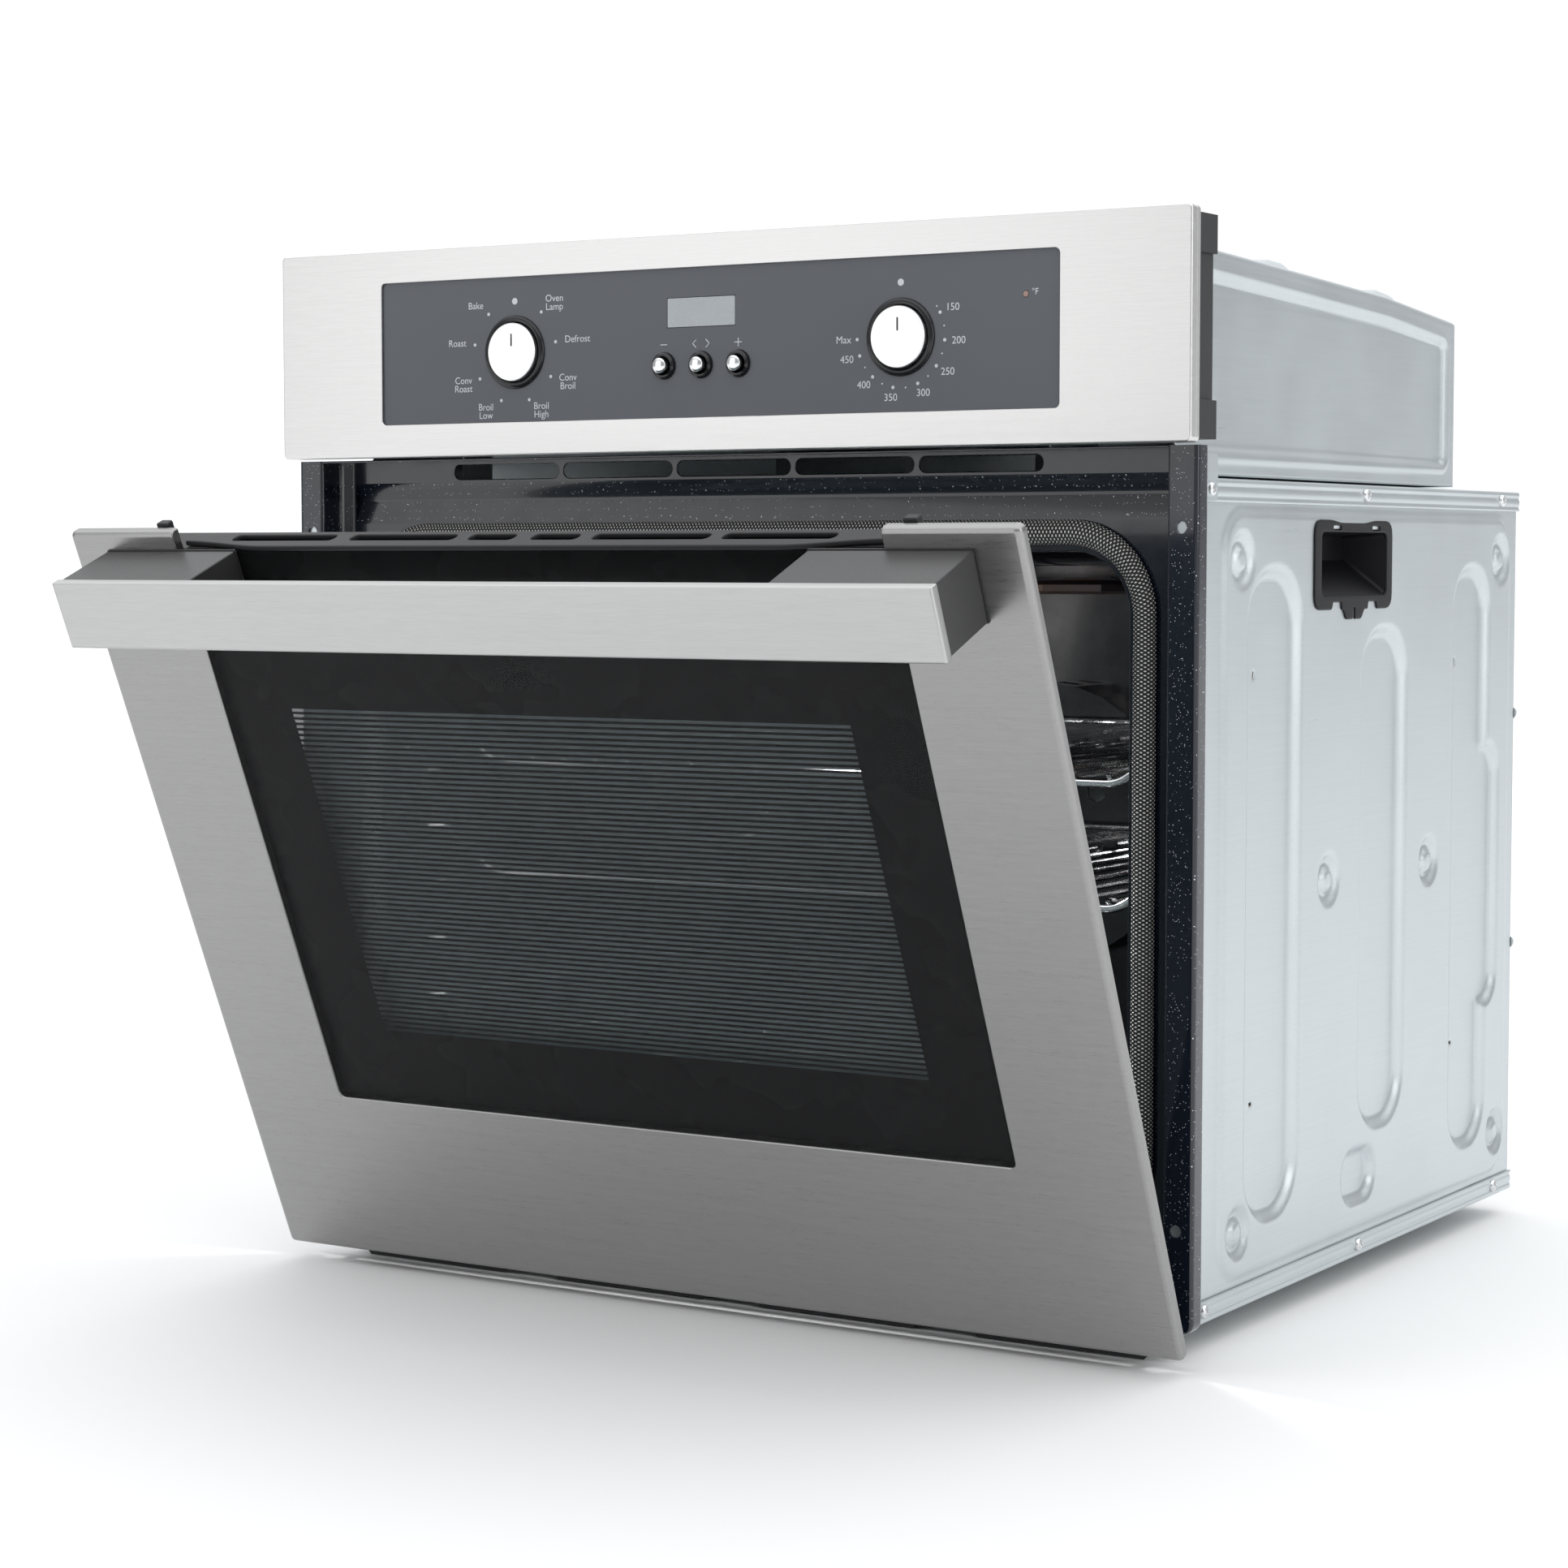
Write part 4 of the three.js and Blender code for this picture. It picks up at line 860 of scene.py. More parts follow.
def drill(piece: bpy.types.Object, cutters: Sequence[Shape], space: Space = Space.BODY) -> None:
    """Cuts holes through a piece.

    Args:
        piece: the piece, whose mesh is replaced by the drilled one.
        cutters: the solids to cut away.
        space: the assembly that the cutters are drawn in.
    """
    points, faces = together(cutters)
    mesh = bpy.data.meshes.new("cutter")
    mesh.from_pydata([to_frame(point, space) for point in points], [], faces)
    work = bmesh.new()
    work.from_mesh(mesh)
    bmesh.ops.recalc_face_normals(work, faces=work.faces)
    work.to_mesh(mesh)
    work.free()
    cutter = bpy.data.objects.new("cutter", mesh)
    bpy.context.scene.collection.objects.link(cutter)
    boolean = piece.modifiers.new("holes", "BOOLEAN")
    boolean.object = cutter
    boolean.operation = "DIFFERENCE"
    graph = bpy.context.evaluated_depsgraph_get()
    drilled = bpy.data.meshes.new_from_object(piece.evaluated_get(graph))
    piece.modifiers.remove(boolean)
    log.info("%s: drilled, %d faces before and %d after", piece.name, len(piece.data.polygons),
             len(drilled.polygons))
    piece.data = drilled
    drilled.set_sharp_from_angle(angle=math.radians(CREASE))
    bpy.data.objects.remove(cutter)


# ---------------------------------------------------------------- fasteners

@dataclass(frozen=True)
class PanScrew:
    """A pan-head screw with a cross recess."""

    radius: float = 3.9
    height: float = 2.4
    recess: float = 1.3
    bar: float = 0.62
    reach: float = 2.3
    squareness: float = 2.6
    rings: int = 12
    sides: int = 40
    # The loop that closes the underside: its share of the radius, and how deep it sits.
    skirt: Flat = (0.98, 0.4)

    def rise(self, radius: float, turn: float) -> float:
        """The head's height at a radius and an angle."""
        share = radius / self.radius
        dome = self.height * math.sqrt(max(0.0, 1 - share ** self.squareness))
        u, v = radius * math.cos(turn), radius * math.sin(turn)
        in_cross = min(abs(u), abs(v)) < self.bar and max(abs(u), abs(v)) < self.reach
        return dome - (self.recess if in_cross else 0.0)

    def shape(self, seat: Point, axis: Point) -> Shape:
        """The screw's head on its seat.

        Args:
            seat: the middle of the head's underside.
            axis: the direction that the head looks to.

        Returns:
            The head as a closed solid.
        """
        out = Vector(axis).normalized()
        side = out.orthogonal().normalized()
        other = out.cross(side)
        loops = []
        for ring in range(self.rings + 1):
            radius = self.radius * ring / self.rings
            loop = []
            for step in range(self.sides):
                turn = math.tau * (step + 0.5) / self.sides
                place = Vector(seat) + (side * math.cos(turn) + other * math.sin(turn)) * radius
                loop.append(tuple(place + out * self.rise(radius, turn)))
            loops.append(loop)
        share, sink = self.skirt
        middle = Vector(seat)
        loops.append([tuple(middle + (Vector(point) - middle) * share - out * sink) for point in loops[-1]])
        return loft(loops)


# ---------------------------------------------------------------- control panel

@dataclass
class ControlPanel:
    """The fascia with its window, knobs, buttons, display and markings."""

    corner: float = 3.0
    skin: float = 1.2
    edge: float = 1.1
    window: Box = (-222.5, 222.5, 485.8, 568.2)
    knob_z: float = 525.5
    collar_outer: float = 20.8
    collar_inner: float = 17.1
    dial_radius: float = 28.9
    scale_radius: float = 26.9
    tight_corner: float = 0.4
    window_lip: float = 0.25
    # The groove round the fascia's side: inset and y of each point.
    groove: tuple[Flat, ...] = ((0.0, 5.4), (0.5, 5.7), (0.5, 6.3), (0.0, 6.6))
    hem: float = 0.4
    carrier_edge: float = 0.4
    # A knob's face: shares of its radius, then insets from its rim, each with its depth.
    knob_dish: tuple[Flat, ...] = ((0.0, 0.35), (0.6, 0.28))
    knob_rim: tuple[Flat, ...] = ((1.6, 0.1), (0.9, 0.0), (0.35, 0.12), (0.0, 0.6))
    # The mark on a knob: its limits from the knob's middle, then its depths.
    pointer: Box = (-0.45, 0.45, 3.2, 10.4)
    pointer_depth: Flat = (0.1, 0.5)
    # The inner and the outer lip of a ring: distance out from its edge, and y.
    collar_lips: Lips = (
        ((0.0, 0.6), (0.5, -0.1), (1.2, -0.45)), ((-1.5, -0.3), (-0.5, 0.2), (0.0, 1.0)))
    collar_wall: float = 1.0
    collar_back: float = 20.0
    cap_rise: float = 1.3
    cap_back: float = 8.0
    button_lips: Lips = (((0.0, 0.4), (0.6, -0.6)), ((-1.1, -0.7), (-0.3, -0.1), (0.0, 0.8)))
    button_gap: float = 0.5
    button_ring: float = 7.5
    button_ring_back: float = 6.0
    display_depth: Flat = (-0.1, 1.2)
    text_size: float = 5.6
    line_space: float = 0.85
    print_lift: float = 0.06
    stroke_radius: float = 0.28
    off_dot: float = 1.9
    stop_dot: float = 0.95
    half_dot: float = 0.45
    function_turn: float = 40.0
    function_gap: float = 6.5
    letter_half: float = 1.25
    # A name whose neighbour stands close, and how far it is moved to the left.
    crowded: tuple[str, float] = ("Broil\nLow", 2.5)
    scale_start: float = 46.5
    number_gap: float = 5.5
    # The unit of the scale, its middle and its size.
    unit: tuple[str, float, float, float] = ("°F", 207.5, 546.2, 4.6)
    sign_z: float = 526.3
    # Strokes of the minus, select and plus signs, from the height of the signs.
    signs: tuple[tuple[Flat, ...], ...] = (
        ((-26.8, 0.0), (-22.6, 0.0)), ((-3.2, 2.2), (-5.4, 0.0), (-3.2, -2.2)),
        ((3.2, 2.2), (5.4, 0.0), (3.2, -2.2)), ((22.0, 0.0), (26.8, 0.0)), ((24.4, -2.4), (24.4, 2.4)))
    functions: tuple[str, ...] = ("Oven\nLamp", "Defrost", "Conv\nBroil", "Broil\nHigh", "Broil\nLow",
                                  "Conv\nRoast", "Roast", "Bake")
    scale: dict[str, float] = field(default_factory=lambda: {
        "150": 63, "200": 95, "250": 126, "300": 157, "350": 190, "400": 220, "450": 250, "Max": 269})

    def build(self) -> None:
        """Makes every piece of the control panel."""
        self.knob_x = (low("thermostat_knob").x + high("thermostat_knob").x) / 2
        self.face = low("control_panel").y
        self.make_fascia()
        self.make_knob("selector", -self.knob_x)
        self.make_knob("thermostat", self.knob_x)
        self.make_buttons()
        self.make_display()
        self.make_markings()
        for node in ("fascia_carrier", "control_panel"):
            soften(frame["nodes"][node], self.carrier_edge)

    def make_fascia(self) -> None:
        """Folds the stainless cover round its window."""
        bottom, top = low("control_fascia").z, high("control_fascia").z
        depth = high("control_fascia").y
        x0, x1, z0, z1 = self.window

        def outer(inset: float, y: float) -> list[Point]:
            """A loop round the cover, drawn in by that inset."""
            side, radius = FRONT_HALF - inset, max(self.tight_corner, self.corner - inset)
            ring = rounded_rectangle(-side, side, bottom + inset, top - inset, radius)
            return [(x, y, z) for x, z in ring]

        def hole(grow: float, y: float) -> list[Point]:
            """A loop round the window, grown by that much."""
            ring = rounded_rectangle(x0 - grow, x1 + grow, z0 - grow, z1 + grow, self.corner + grow)
            return [(x, y, z) for x, z in ring]

        rolled = [(self.edge * (1 - math.sin(a)), self.edge * (1 - math.cos(a))) for a in quarter(4)]
        loops = [hole(self.window_lip, 0.0)]
        loops += [outer(inset, y) for inset, y in (*rolled, *self.groove)]
        loops += [outer(0, depth - self.hem), outer(self.hem, depth)]
        loops += [outer(self.skin, depth), outer(self.skin, self.skin)]
        loops += [hole(0, self.skin), hole(0, self.window_lip)]
        add_piece("fascia_cover", loft(loops, ring=True), STAINLESS, "oven_body",
                  stands_for=["control_fascia"])

    def make_knob(self, word: str, x: float) -> None:
        """Turns one knob with its mark, and the ring that it slides in."""
        centre = (x, self.knob_z)
        front, back = low(f"{word}_knob").y, high(f"{word}_knob").y
        radius = high(f"{word}_knob").x - x
        face = [(radius * share, front + sink) for share, sink in self.knob_dish]
        face += [(radius - inset, front + sink) for inset, sink in self.knob_rim]
        face += [(radius, back), (0.0, back)]
        add_piece(f"{word}_knob_cap", lathe(face, centre, 96), KNOB_FACE, f"{word}_knob",
                  stands_for=[f"{word}_knob"])
        mark = rounded_rectangle(*shifted((x, x, self.knob_z, self.knob_z), self.pointer), 0.4, 4)
        near, far = self.pointer_depth
        add_piece(f"{word}_knob_mark", plate([mark], front + near, front + far, 0.05, facing_front), PLASTIC,
                  f"{word}_knob")
        outer, inner = self.collar_outer, self.collar_inner
        ring = self.lipped(inner, outer, self.collar_lips)
        ring += [(outer, self.face), (inner + self.collar_wall, self.face),
                 (inner + self.collar_wall, self.collar_back), (inner, self.collar_back)]
        add_piece(f"{word}_ring", lathe(ring, centre, 96), GLOSS_BLACK, "oven_body",
                  stands_for=[f"{word}_collar"])

    def lipped(self, inner: float, outer: float, lips: Lips) -> list[Flat]:
        """The front of a ring's profile: its inner lip, then its outer lip."""
        return [(edge + out, y) for edge, lip in zip((inner, outer), lips) for out, y in lip]

    def make_buttons(self) -> None:
        """Turns the three button caps and their rings."""
        rings = []
        for word in ("minus", "select", "plus"):
            start, end = low(f"{word}_button"), high(f"{word}_button")
            centre = ((start.x + end.x) / 2, (start.z + end.z) / 2)
            radius = end.x - centre[0]
            front = start.y
            dome = [(radius * math.sin(a), front + self.cap_rise * (1 - math.cos(a))) for a in quarter(8)]
            cap = lathe([*dome, (radius, self.cap_back), (0.0, self.cap_back)], centre, 48)
            add_piece(f"{word}_cap", cap, CHROME, f"{word}_button", stands_for=[f"{word}_button"])
            inner, outer, back = radius + self.button_gap, self.button_ring, self.button_ring_back
            ring = [*self.lipped(inner, outer, self.button_lips), (outer, back), (inner, back)]
            rings.append(lathe(ring, centre, 48))
        add_piece("button_rings", together(rings), GLOSS_BLACK, "oven_body", stands_for=["button_bezel"])

    def make_display(self) -> None:
        """Cuts the display window."""
        start, end = low("display_window"), high("display_window")
        near, far = self.display_depth
        pane = rounded_rectangle(start.x, end.x, start.z, end.z, 0.6, 4)
        add_piece("display_pane", plate([pane], start.y + near, start.y + far, 0.2, facing_front), DISPLAY,
                  "oven_body", stands_for=["display_window"])

    def lettering(self, text: str, x: float, z: float, size: float) -> Shape:
        """Flat letters centred on a point of the panel.

        Args:
            text: the words, with line breaks.
            x, z: the middle of the text.
            size: the letters' size in millimetres.

        Returns:
            The letters as a thin solid.
        """
        font = bpy.data.curves.new("letters", "FONT")
        font.body = text
        font.size = size
        font.align_x = "CENTER"
        font.align_y = "CENTER"
        font.space_line = self.line_space
        font.extrude = self.print_lift / 2
        points, faces = filled(font)
        return [(x + point.x, self.face - self.print_lift - point.z, z + point.y) for point in points], faces

    def dot(self, x: float, z: float, radius: float) -> Shape:
        """A printed dot."""
        outline = circle((x, z), radius, 20)
        return plate([outline], self.face - 2 * self.print_lift, self.face, 0.01, facing_front)

    def stroke(self, points: Sequence[Flat]) -> Shape:
        """A printed line through points."""
        return tube([(x, self.face - self.print_lift, z) for x, z in points], self.stroke_radius, 6)

    def around(self, x: float, degrees: float, radius: float) -> Flat:
        """A point at a clockwise angle from the top of a knob."""
        turn = math.radians(degrees)
        return x + radius * math.sin(turn), self.knob_z + radius * math.cos(turn)

    def make_markings(self) -> None:
        """Prints the scales, the generic function names and the button signs."""
        marks = []
        left, right = -self.knob_x, self.knob_x
        for x in (left, right):
            marks.append(self.dot(*self.around(x, 0, self.dial_radius), self.off_dot))
        crowded, pull = self.crowded
        for index, name in enumerate(self.functions, start=1):
            turn = index * self.function_turn
            marks.append(self.dot(*self.around(left, turn, self.dial_radius), self.stop_dot))
            x, z = self.around(left, turn, self.dial_radius + self.function_gap)
            half = max(len(line) for line in name.split("\n")) * self.letter_half
            x += math.copysign(half, math.sin(math.radians(turn))) - (pull if name == crowded else 0)
            marks.append(self.lettering(name, x, z, self.text_size))
        for name, turn in self.scale.items():
            marks.append(self.dot(*self.around(right, turn, self.scale_radius), self.stop_dot))
            x, z = self.around(right, turn, self.scale_radius + self.number_gap)
            x += math.sin(math.radians(turn)) * len(name)
            marks.append(self.lettering(name, x, z, self.text_size))
        angles = list(self.scale.values())
        for first, second in zip([self.scale_start, *angles], angles[:-1]):
            place = self.around(right, (first + second) / 2, self.scale_radius)
            marks.append(self.dot(*place, self.half_dot))
        marks += [self.stroke([(x, self.sign_z + z) for x, z in sign]) for sign in self.signs]
        marks.append(self.lettering(*self.unit))
        add_piece("panel_markings", together(marks), MARKING, "oven_body")


# ---------------------------------------------------------------- front frame

@dataclass
class FrontFrame:
    """The enamelled frame, its gasket and the air guide below it."""

    flange_inner: float = 278.3
    flange_front: float = 12.5
    flange_back: float = 25.0
    lip: float = 8.0
    bend: float = 2.6
    toe: float = 6.0
    recess_y: float = 34.0
    sheet_metal: float = 1.2
    corner_fillet: float = 8.0
    # The groove across the header: depth and z of each point.
    groove: tuple[Flat, ...] = ((0.0, 428.4), (0.35, 429.6), (3.1, 440.4), (3.7, 441.6), (3.9, 443.2),
                                (3.5, 446.0), (2.3, 449.2), (0.9, 451.6), (0.0, 452.8))
    mouth: Box = MOUTH
    mouth_radius: float = MOUTH_RADIUS
    slot_pitch: float = 78.9
    slot_half: float = 37.8
    slot_rows: Flat = (454.6, 463.2)
    slot_radius: float = 4.1
    hinge_x: float = 249.0
    hinge_slot: Box = (-3.5, 3.5, 17.0, 37.0)
    cut_span: Flat = (-6.0, 8.0)
    overlap: float = 0.6
    header_inset: float = 0.5
    # x and radius of a screw hole, and how far along y it is cut.
    screw_hole: Flat = (286.3, 3.3)
    screw_heights: Flat = (60.0, 424.0)
    screw_hole_span: Flat = (8.0, 18.0)
    # The side sheet's fold, seen through the screw holes: its limits from the flange's.
    fold_shifts: Box = (2.0, -2.0, 8.0, -6.0)
    fold_gap: float = 0.4
    fold_gauge: float = 1.0
    rope_half: float = 6.6
    rope_depth: float = 3.6
    rope_gap: float = 3.5
    rope_sink: float = 0.8
    rope_step: float = 1.6
    rope_sides: int = 24
    swell: float = 0.025
    swell_pitch: float = 1.9
    swell_waves: int = 6

    def build(self) -> None:
        """Makes the frame, the gasket and dresses the air guide."""
        self.bottom, self.top = low("front_frame").z, high("front_frame").z
        self.make_flanges()
        self.make_recess()
        self.make_gasket()
        soften(frame["nodes"]["bottom_vent_trim"], 0.35)

    def flange(self) -> Shape:
        """The right mounting flange: a folded channel that steps back to the recess."""
        outer, gauge = high("front_frame").x, self.sheet_metal

        def fold(inset: float, bend: float) -> list[Flat]:
            """The fold's line at that inset, its corners rounded."""
            inner = self.flange_inner + inset
            front, back = self.flange_front + inset, self.flange_back - inset
            corners = [(inner, self.recess_y), (inner, front), (outer - inset, front), (outer - inset, back),
                       (outer - self.lip, back)]
            return [(x, y) for x, y, _ in filleted([(x, y, 0) for x, y in corners], bend, 6)]

        section = fold(0, self.bend) + fold(gauge, self.bend - gauge)[::-1]
        middle = (self.flange_inner + outer) / 2
        heights = [self.toe * (1 - math.cos(turn)) for turn in quarter(6)]
        loops = []
        for rise in [*heights, self.top - self.bottom]:
            short = self.toe - math.sqrt(self.toe ** 2 - max(0.0, self.toe - rise) ** 2)
            loops.append([(x - short if x > middle else x, y, self.bottom + rise) for x, y in section])
        return loft(loops)

    def corner(self) -> Shape:
        """The hollow bend between the recess and the right flange."""
        size = self.corner_fillet
        near, far = self.flange_inner - size, self.flange_inner + self.overlap
        arc = [(near + size * math.cos(turn), self.recess_y - size + size * math.sin(turn))
               for turn in quarter(8)]
        section = [*arc, (near, self.recess_y + self.overlap), (far, self.recess_y + self.overlap),
                   (far, self.recess_y - size)]
        return loft([[(x, y, z) for x, y in section] for z in (self.bottom, self.top - self.sheet_metal)])

    def make_flanges(self) -> None:
        """Folds both flanges, drills their screw holes and sets the side sheet's fold behind them."""
        x, radius = self.screw_hole
        holes = [prism(circle((x, z), radius, 32), *self.screw_hole_span) for z in self.screw_heights]
        face = (self.flange_inner, high("front_frame").x, self.bottom, self.top)
        fold = rounded_rectangle(*shifted(face, self.fold_shifts), 1.5, 3)
        near = self.flange_front + self.sheet_metal + self.fold_gap
        for word, turn in (("right", lambda shape: shape), ("left", mirrored)):
            piece = add_piece(f"{word}_flange", turn(self.flange()), ENAMEL, "oven_body",
                              stands_for=["front_frame"] if word == "right" else [])
            drill(piece, [turn(hole) for hole in holes])
            add_piece(f"{word}_recess_corner", turn(self.corner()), ENAMEL, "oven_body")
            sheet_fold = plate([fold], near, near + self.fold_gauge, 0.2, facing_front)
            add_piece(f"{word}_side_fold", turn(sheet_fold), ZINC, "oven_body")

    def make_recess(self) -> None:
        """Presses the recess sheet and cuts the cavity mouth, the vents and the hinge slots."""
        half = self.flange_inner + self.overlap
        front = [(self.recess_y + sink, z) for sink, z in ((0.0, self.bottom), *self.groove, (0.0, self.top))]
        back = [(y + self.sheet_metal, z) for y, z in reversed(front)]
        sheet_shape = loft([[(x, y, z) for y, z in front + back] for x in (-half, half)])
        recess = add_piece("frame_recess", sheet_shape, ENAMEL, "oven_body")
        near, far = (self.recess_y + reach for reach in self.cut_span)
        cutters = [prism(rounded_rectangle(*self.mouth, self.mouth_radius, 16), near, far)]
        for n in range(-2, 3):
            middle = n * self.slot_pitch
            slot = rounded_rectangle(middle - self.slot_half, middle + self.slot_half, *self.slot_rows,
                                     self.slot_radius, 8)
            cutters.append(prism(slot, near, far))
        for x in (-self.hinge_x, self.hinge_x):
            slot = rounded_rectangle(*shifted((x, x, 0.0, 0.0), self.hinge_slot), 1.0, 3)
            cutters.append(prism(slot, near, far))
        drill(recess, cutters)
        soften(recess, 0.5)
        header = rounded_rectangle(-half, half, self.flange_front + self.header_inset,
                                   self.recess_y + self.sheet_metal, 0.5, 3)
        header_plate = plate([header], self.top - self.sheet_metal, self.top, 0.3, facing_up)
        add_piece("frame_header", header_plate, ENAMEL, "oven_body")

    def make_gasket(self) -> None:
        """Braids the rope that seals the cavity's mouth."""
        reach = self.rope_gap + self.rope_half
        outline = shifted(self.mouth, (-reach, reach, -reach, reach))
        path = rounded_rectangle(*outline, self.mouth_radius + reach, 36)
        dense: list[Flat] = []
        for (ax, az), (bx, bz) in zip(path, path[1:] + path[:1]):
            count = max(1, round(math.dist((ax, az), (bx, bz)) / self.rope_step))
            dense += [(ax + (bx - ax) * n / count, az + (bz - az) * n / count) for n in range(count)]
        middle_y = self.recess_y - self.rope_depth + self.rope_sink
        sides = self.rope_sides
        rings = []
        lengths = [0.0]
        total = len(dense)
        for index, (x, z) in enumerate(dense):
            (px, pz), (nx, nz) = dense[index - 1], dense[(index + 1) % total]
            tangent = Vector((nx - px, nz - pz)).normalized()
            out = Vector((tangent.y, -tangent.x))
            run = lengths[-1]
            ring = []
            for step in range(sides):
                turn = math.tau * step / sides
                along, round_it = run * self.swell_pitch, turn * self.swell_waves
                swell = 1 + self.swell * math.sin(along + round_it) * math.sin(along - round_it)
                wide = self.rope_half * math.cos(turn) * swell
                deep = self.rope_depth * math.sin(turn) * swell
                ring.append((x + out.x * wide, middle_y - deep, z + out.y * wide))
            rings.append(ring)
            lengths.append(run + math.dist((x, z), (nx, nz)))
        points, faces = loft(rings, ring=True)
        uvs = []
        for index in range(total):
            for step in range(sides):
                near, far = lengths[index] * MM, lengths[index + 1] * MM
                first, second = step / sides, (step + 1) / sides
                uvs.append([(near, first), (near, second), (far, second), (far, first)])
        add_piece("gasket_rope", (points, faces), BRAID, "oven_body", stands_for=["door_gasket"], uvs=uvs)


# ---------------------------------------------------------------- body shell

@dataclass
class BodyShell:
    """The zinc-coated casing: sides, folded top and base, rear, upper cover, grips and screws."""

    grid: float = 2.0
    field_box: Box = (85.0, 517.0, 18.0, 433.0)
    field_radius: float = 22.0
    field_rise: float = 2.0
    field_slope: float = 4.5
    # Pressed ribs: limits in y and z, and the corner radius.
    ribs: tuple[tuple[Box, float], ...] = (
        ((117.0, 184.0, 45.0, 401.0), 30.0), ((276.0, 340.0, 75.0, 366.0), 28.0),
        ((253.0, 299.0, 34.0, 63.0), 14.0))
    jogged_rib: tuple[tuple[Box, float], ...] = (
        ((421.0, 478.0, 42.0, 401.0), 26.0), ((421.0, 497.0, 128.0, 291.0), 18.0))
    rib_depth: float = 4.6
    rib_slope: float = 7.0
    dimples: tuple[Flat, ...] = ((106.6, 407.5), (498.3, 407.5), (106.9, 42.3), (500.9, 42.5),
                                 (227.3, 225.7), (380.5, 225.3))
    dimple_radius: float = 13.0
    dimple_edge: float = 4.0
    # A dimple's sunken ring and raised middle: depth or rise, and the width of the slope.
    dimple_ring: Flat = (3.4, 6.0)
    dimple_button: Flat = (3.2, 4.0)
    button_share: float = 0.52
    pin_holes: tuple[Flat, ...] = ((131.0, 344.6), (431.0, 344.3), (132.3, 108.7), (431.7, 107.4))
    pin_hole_radius: float = 1.5
    grip: Box = (201.0, 315.0, 379.0, 430.0)
    grip_mouth: Box = (211.0, 306.0, 387.0, 423.0)
    grip_floor: Box = (217.0, 300.0, 407.0, 421.0)
    grip_mouth_radius: float = 4.0
    # How far past the grip's mouth the sheet is cut away.
    grip_gap: Box = (-2.5, 2.5, -2.5, 1.0)
    grip_proud: float = 1.2
    grip_gauge: float = 2.2
    # A clip slot in the grip's flange, and where the two slots stand from its ends.
    clip_slot: Box = (-5.5, 5.5, -5.6, -3.2)
    clip_places: Flat = (32.0, -25.0)
    pocket_wall: float = 1.3
    pocket_lip: float = 0.9
    # A tray's rolled edge: inset and rise of each point.
    rim_bend: tuple[Flat, ...] = ((1.6, 0.0), (0.45, 0.55), (0.0, 1.6))
    bead_rows: Flat = (4.4, 9.8)
    # One bead: height from its middle line, and depth.
    bead: tuple[Flat, ...] = ((-1.3, 0.0), (-0.7, 0.55), (0.7, 0.55), (1.3, 0.0))
    tray_gauge: float = 1.1
    side_gauge: float = 1.0
    # The top tray's ears: start and end behind the body's front.
    ear: Flat = (2.0, 36.0)
    ear_top: float = 13.0
    ear_depth: Flat = (-0.9, 0.5)
    screw_rows: tuple[float, ...] = (66.0, 278.0, 500.0)
    # Screws below the top and above the base, on the sides.
    screw_rims: Flat = (6.0, 7.0)
    rear_side_screws: Flat = (161.0, 309.0)
    rear_screw_inset: float = 3.8
    rear_screws: tuple[float, ...] = (60.0, 160.0, 250.0)
    # Screws below the top and above the base, on the rear.
    rear_rims: Flat = (8.0, 10.0)
    # The cover's roof line: y and z of each point.
    roof: tuple[Flat, ...] = ((46.0, 573.0), (200.0, 567.0), (330.0, 561.5), (440.0, 552.3))
    roof_bend: float = 2.2
    # Margins of the roof: the outer one finely divided, the inner one where coarse parts start.
    roof_margins: Flat = (24.0, 32.0)
    roof_grid: float = 12.0
    cover_levels: int = 60
    seam: float = 1.3
    press_bottom: float = 466.0
    press_margin: float = 14.0
    # The pressed side: limits in y, and in ninetieths of its height.
    press_box: Box = (-20.0, 423.0, 0.0, 90.0)
    press_radius: float = 5.0
    # Depth and slope of the press, then height and slope of the ridge round it.
    press_depth: Flat = (2.6, 4.5)
    ridge: Flat = (0.9, 3.0)
    ridge_place: Flat = (4.0, 1.5)
    rear_gap: float = 0.2
    rear_gauge: float = 0.6
    rear_slots: tuple[float, ...] = (-60.0, 0.0, 60.0)
    rear_slot: Box = (-22.0, 22.0, 500.0, 508.0)
    tab_rows: tuple[Flat, ...] = ((140.0, 196.0), (292.0, 353.0))
    tab_x: float = 258.0
    tab_height: float = 4.0
    tab_ramp: float = 1.6
    tab_end: float = 8.0
    # Half the width of a roof tongue, and its slope.
    tab_half: Flat = (5.0, 4.0)

    def build(self) -> None:
        """Makes every piece of the casing."""
        self.strip = high("base_pan").z
        self.cover_side = high("upper_cover").x
        for word, side in (("right", 1), ("left", -1)):
            self.make_side(word, side)
            self.make_grip(word, side)
        self.make_folded_trays()
        self.make_upper_cover()
        self.make_screws()
        for node, radius in (("rear_panel", 0.3), ("terminal_box", 0.6)):
            soften(frame["nodes"][node], radius)

    def relief(self, y: float, z: float) -> float:
        """How far the side stands out at a point."""
        rise = self.field_rise * pressed(inside(y, z, self.field_box, self.field_radius), self.field_slope)
        for box, radius in self.ribs:
            rise -= self.rib_depth * pressed(inside(y, z, box, radius), self.rib_slope)
        jogged = min(inside(y, z, box, radius) for box, radius in self.jogged_rib)
        rise -= self.rib_depth * pressed(jogged, self.rib_slope)
        (ring_depth, ring_slope), (button_rise, button_slope) = self.dimple_ring, self.dimple_button
        for cy, cz in self.dimples:
            distance = math.hypot(y - cy, z - cz)
            if distance < self.dimple_radius + self.dimple_edge:
                rise -= ring_depth * pressed(distance - self.dimple_radius, ring_slope)
                rise += button_rise * pressed(distance - self.dimple_radius * self.button_share, button_slope)
        return rise

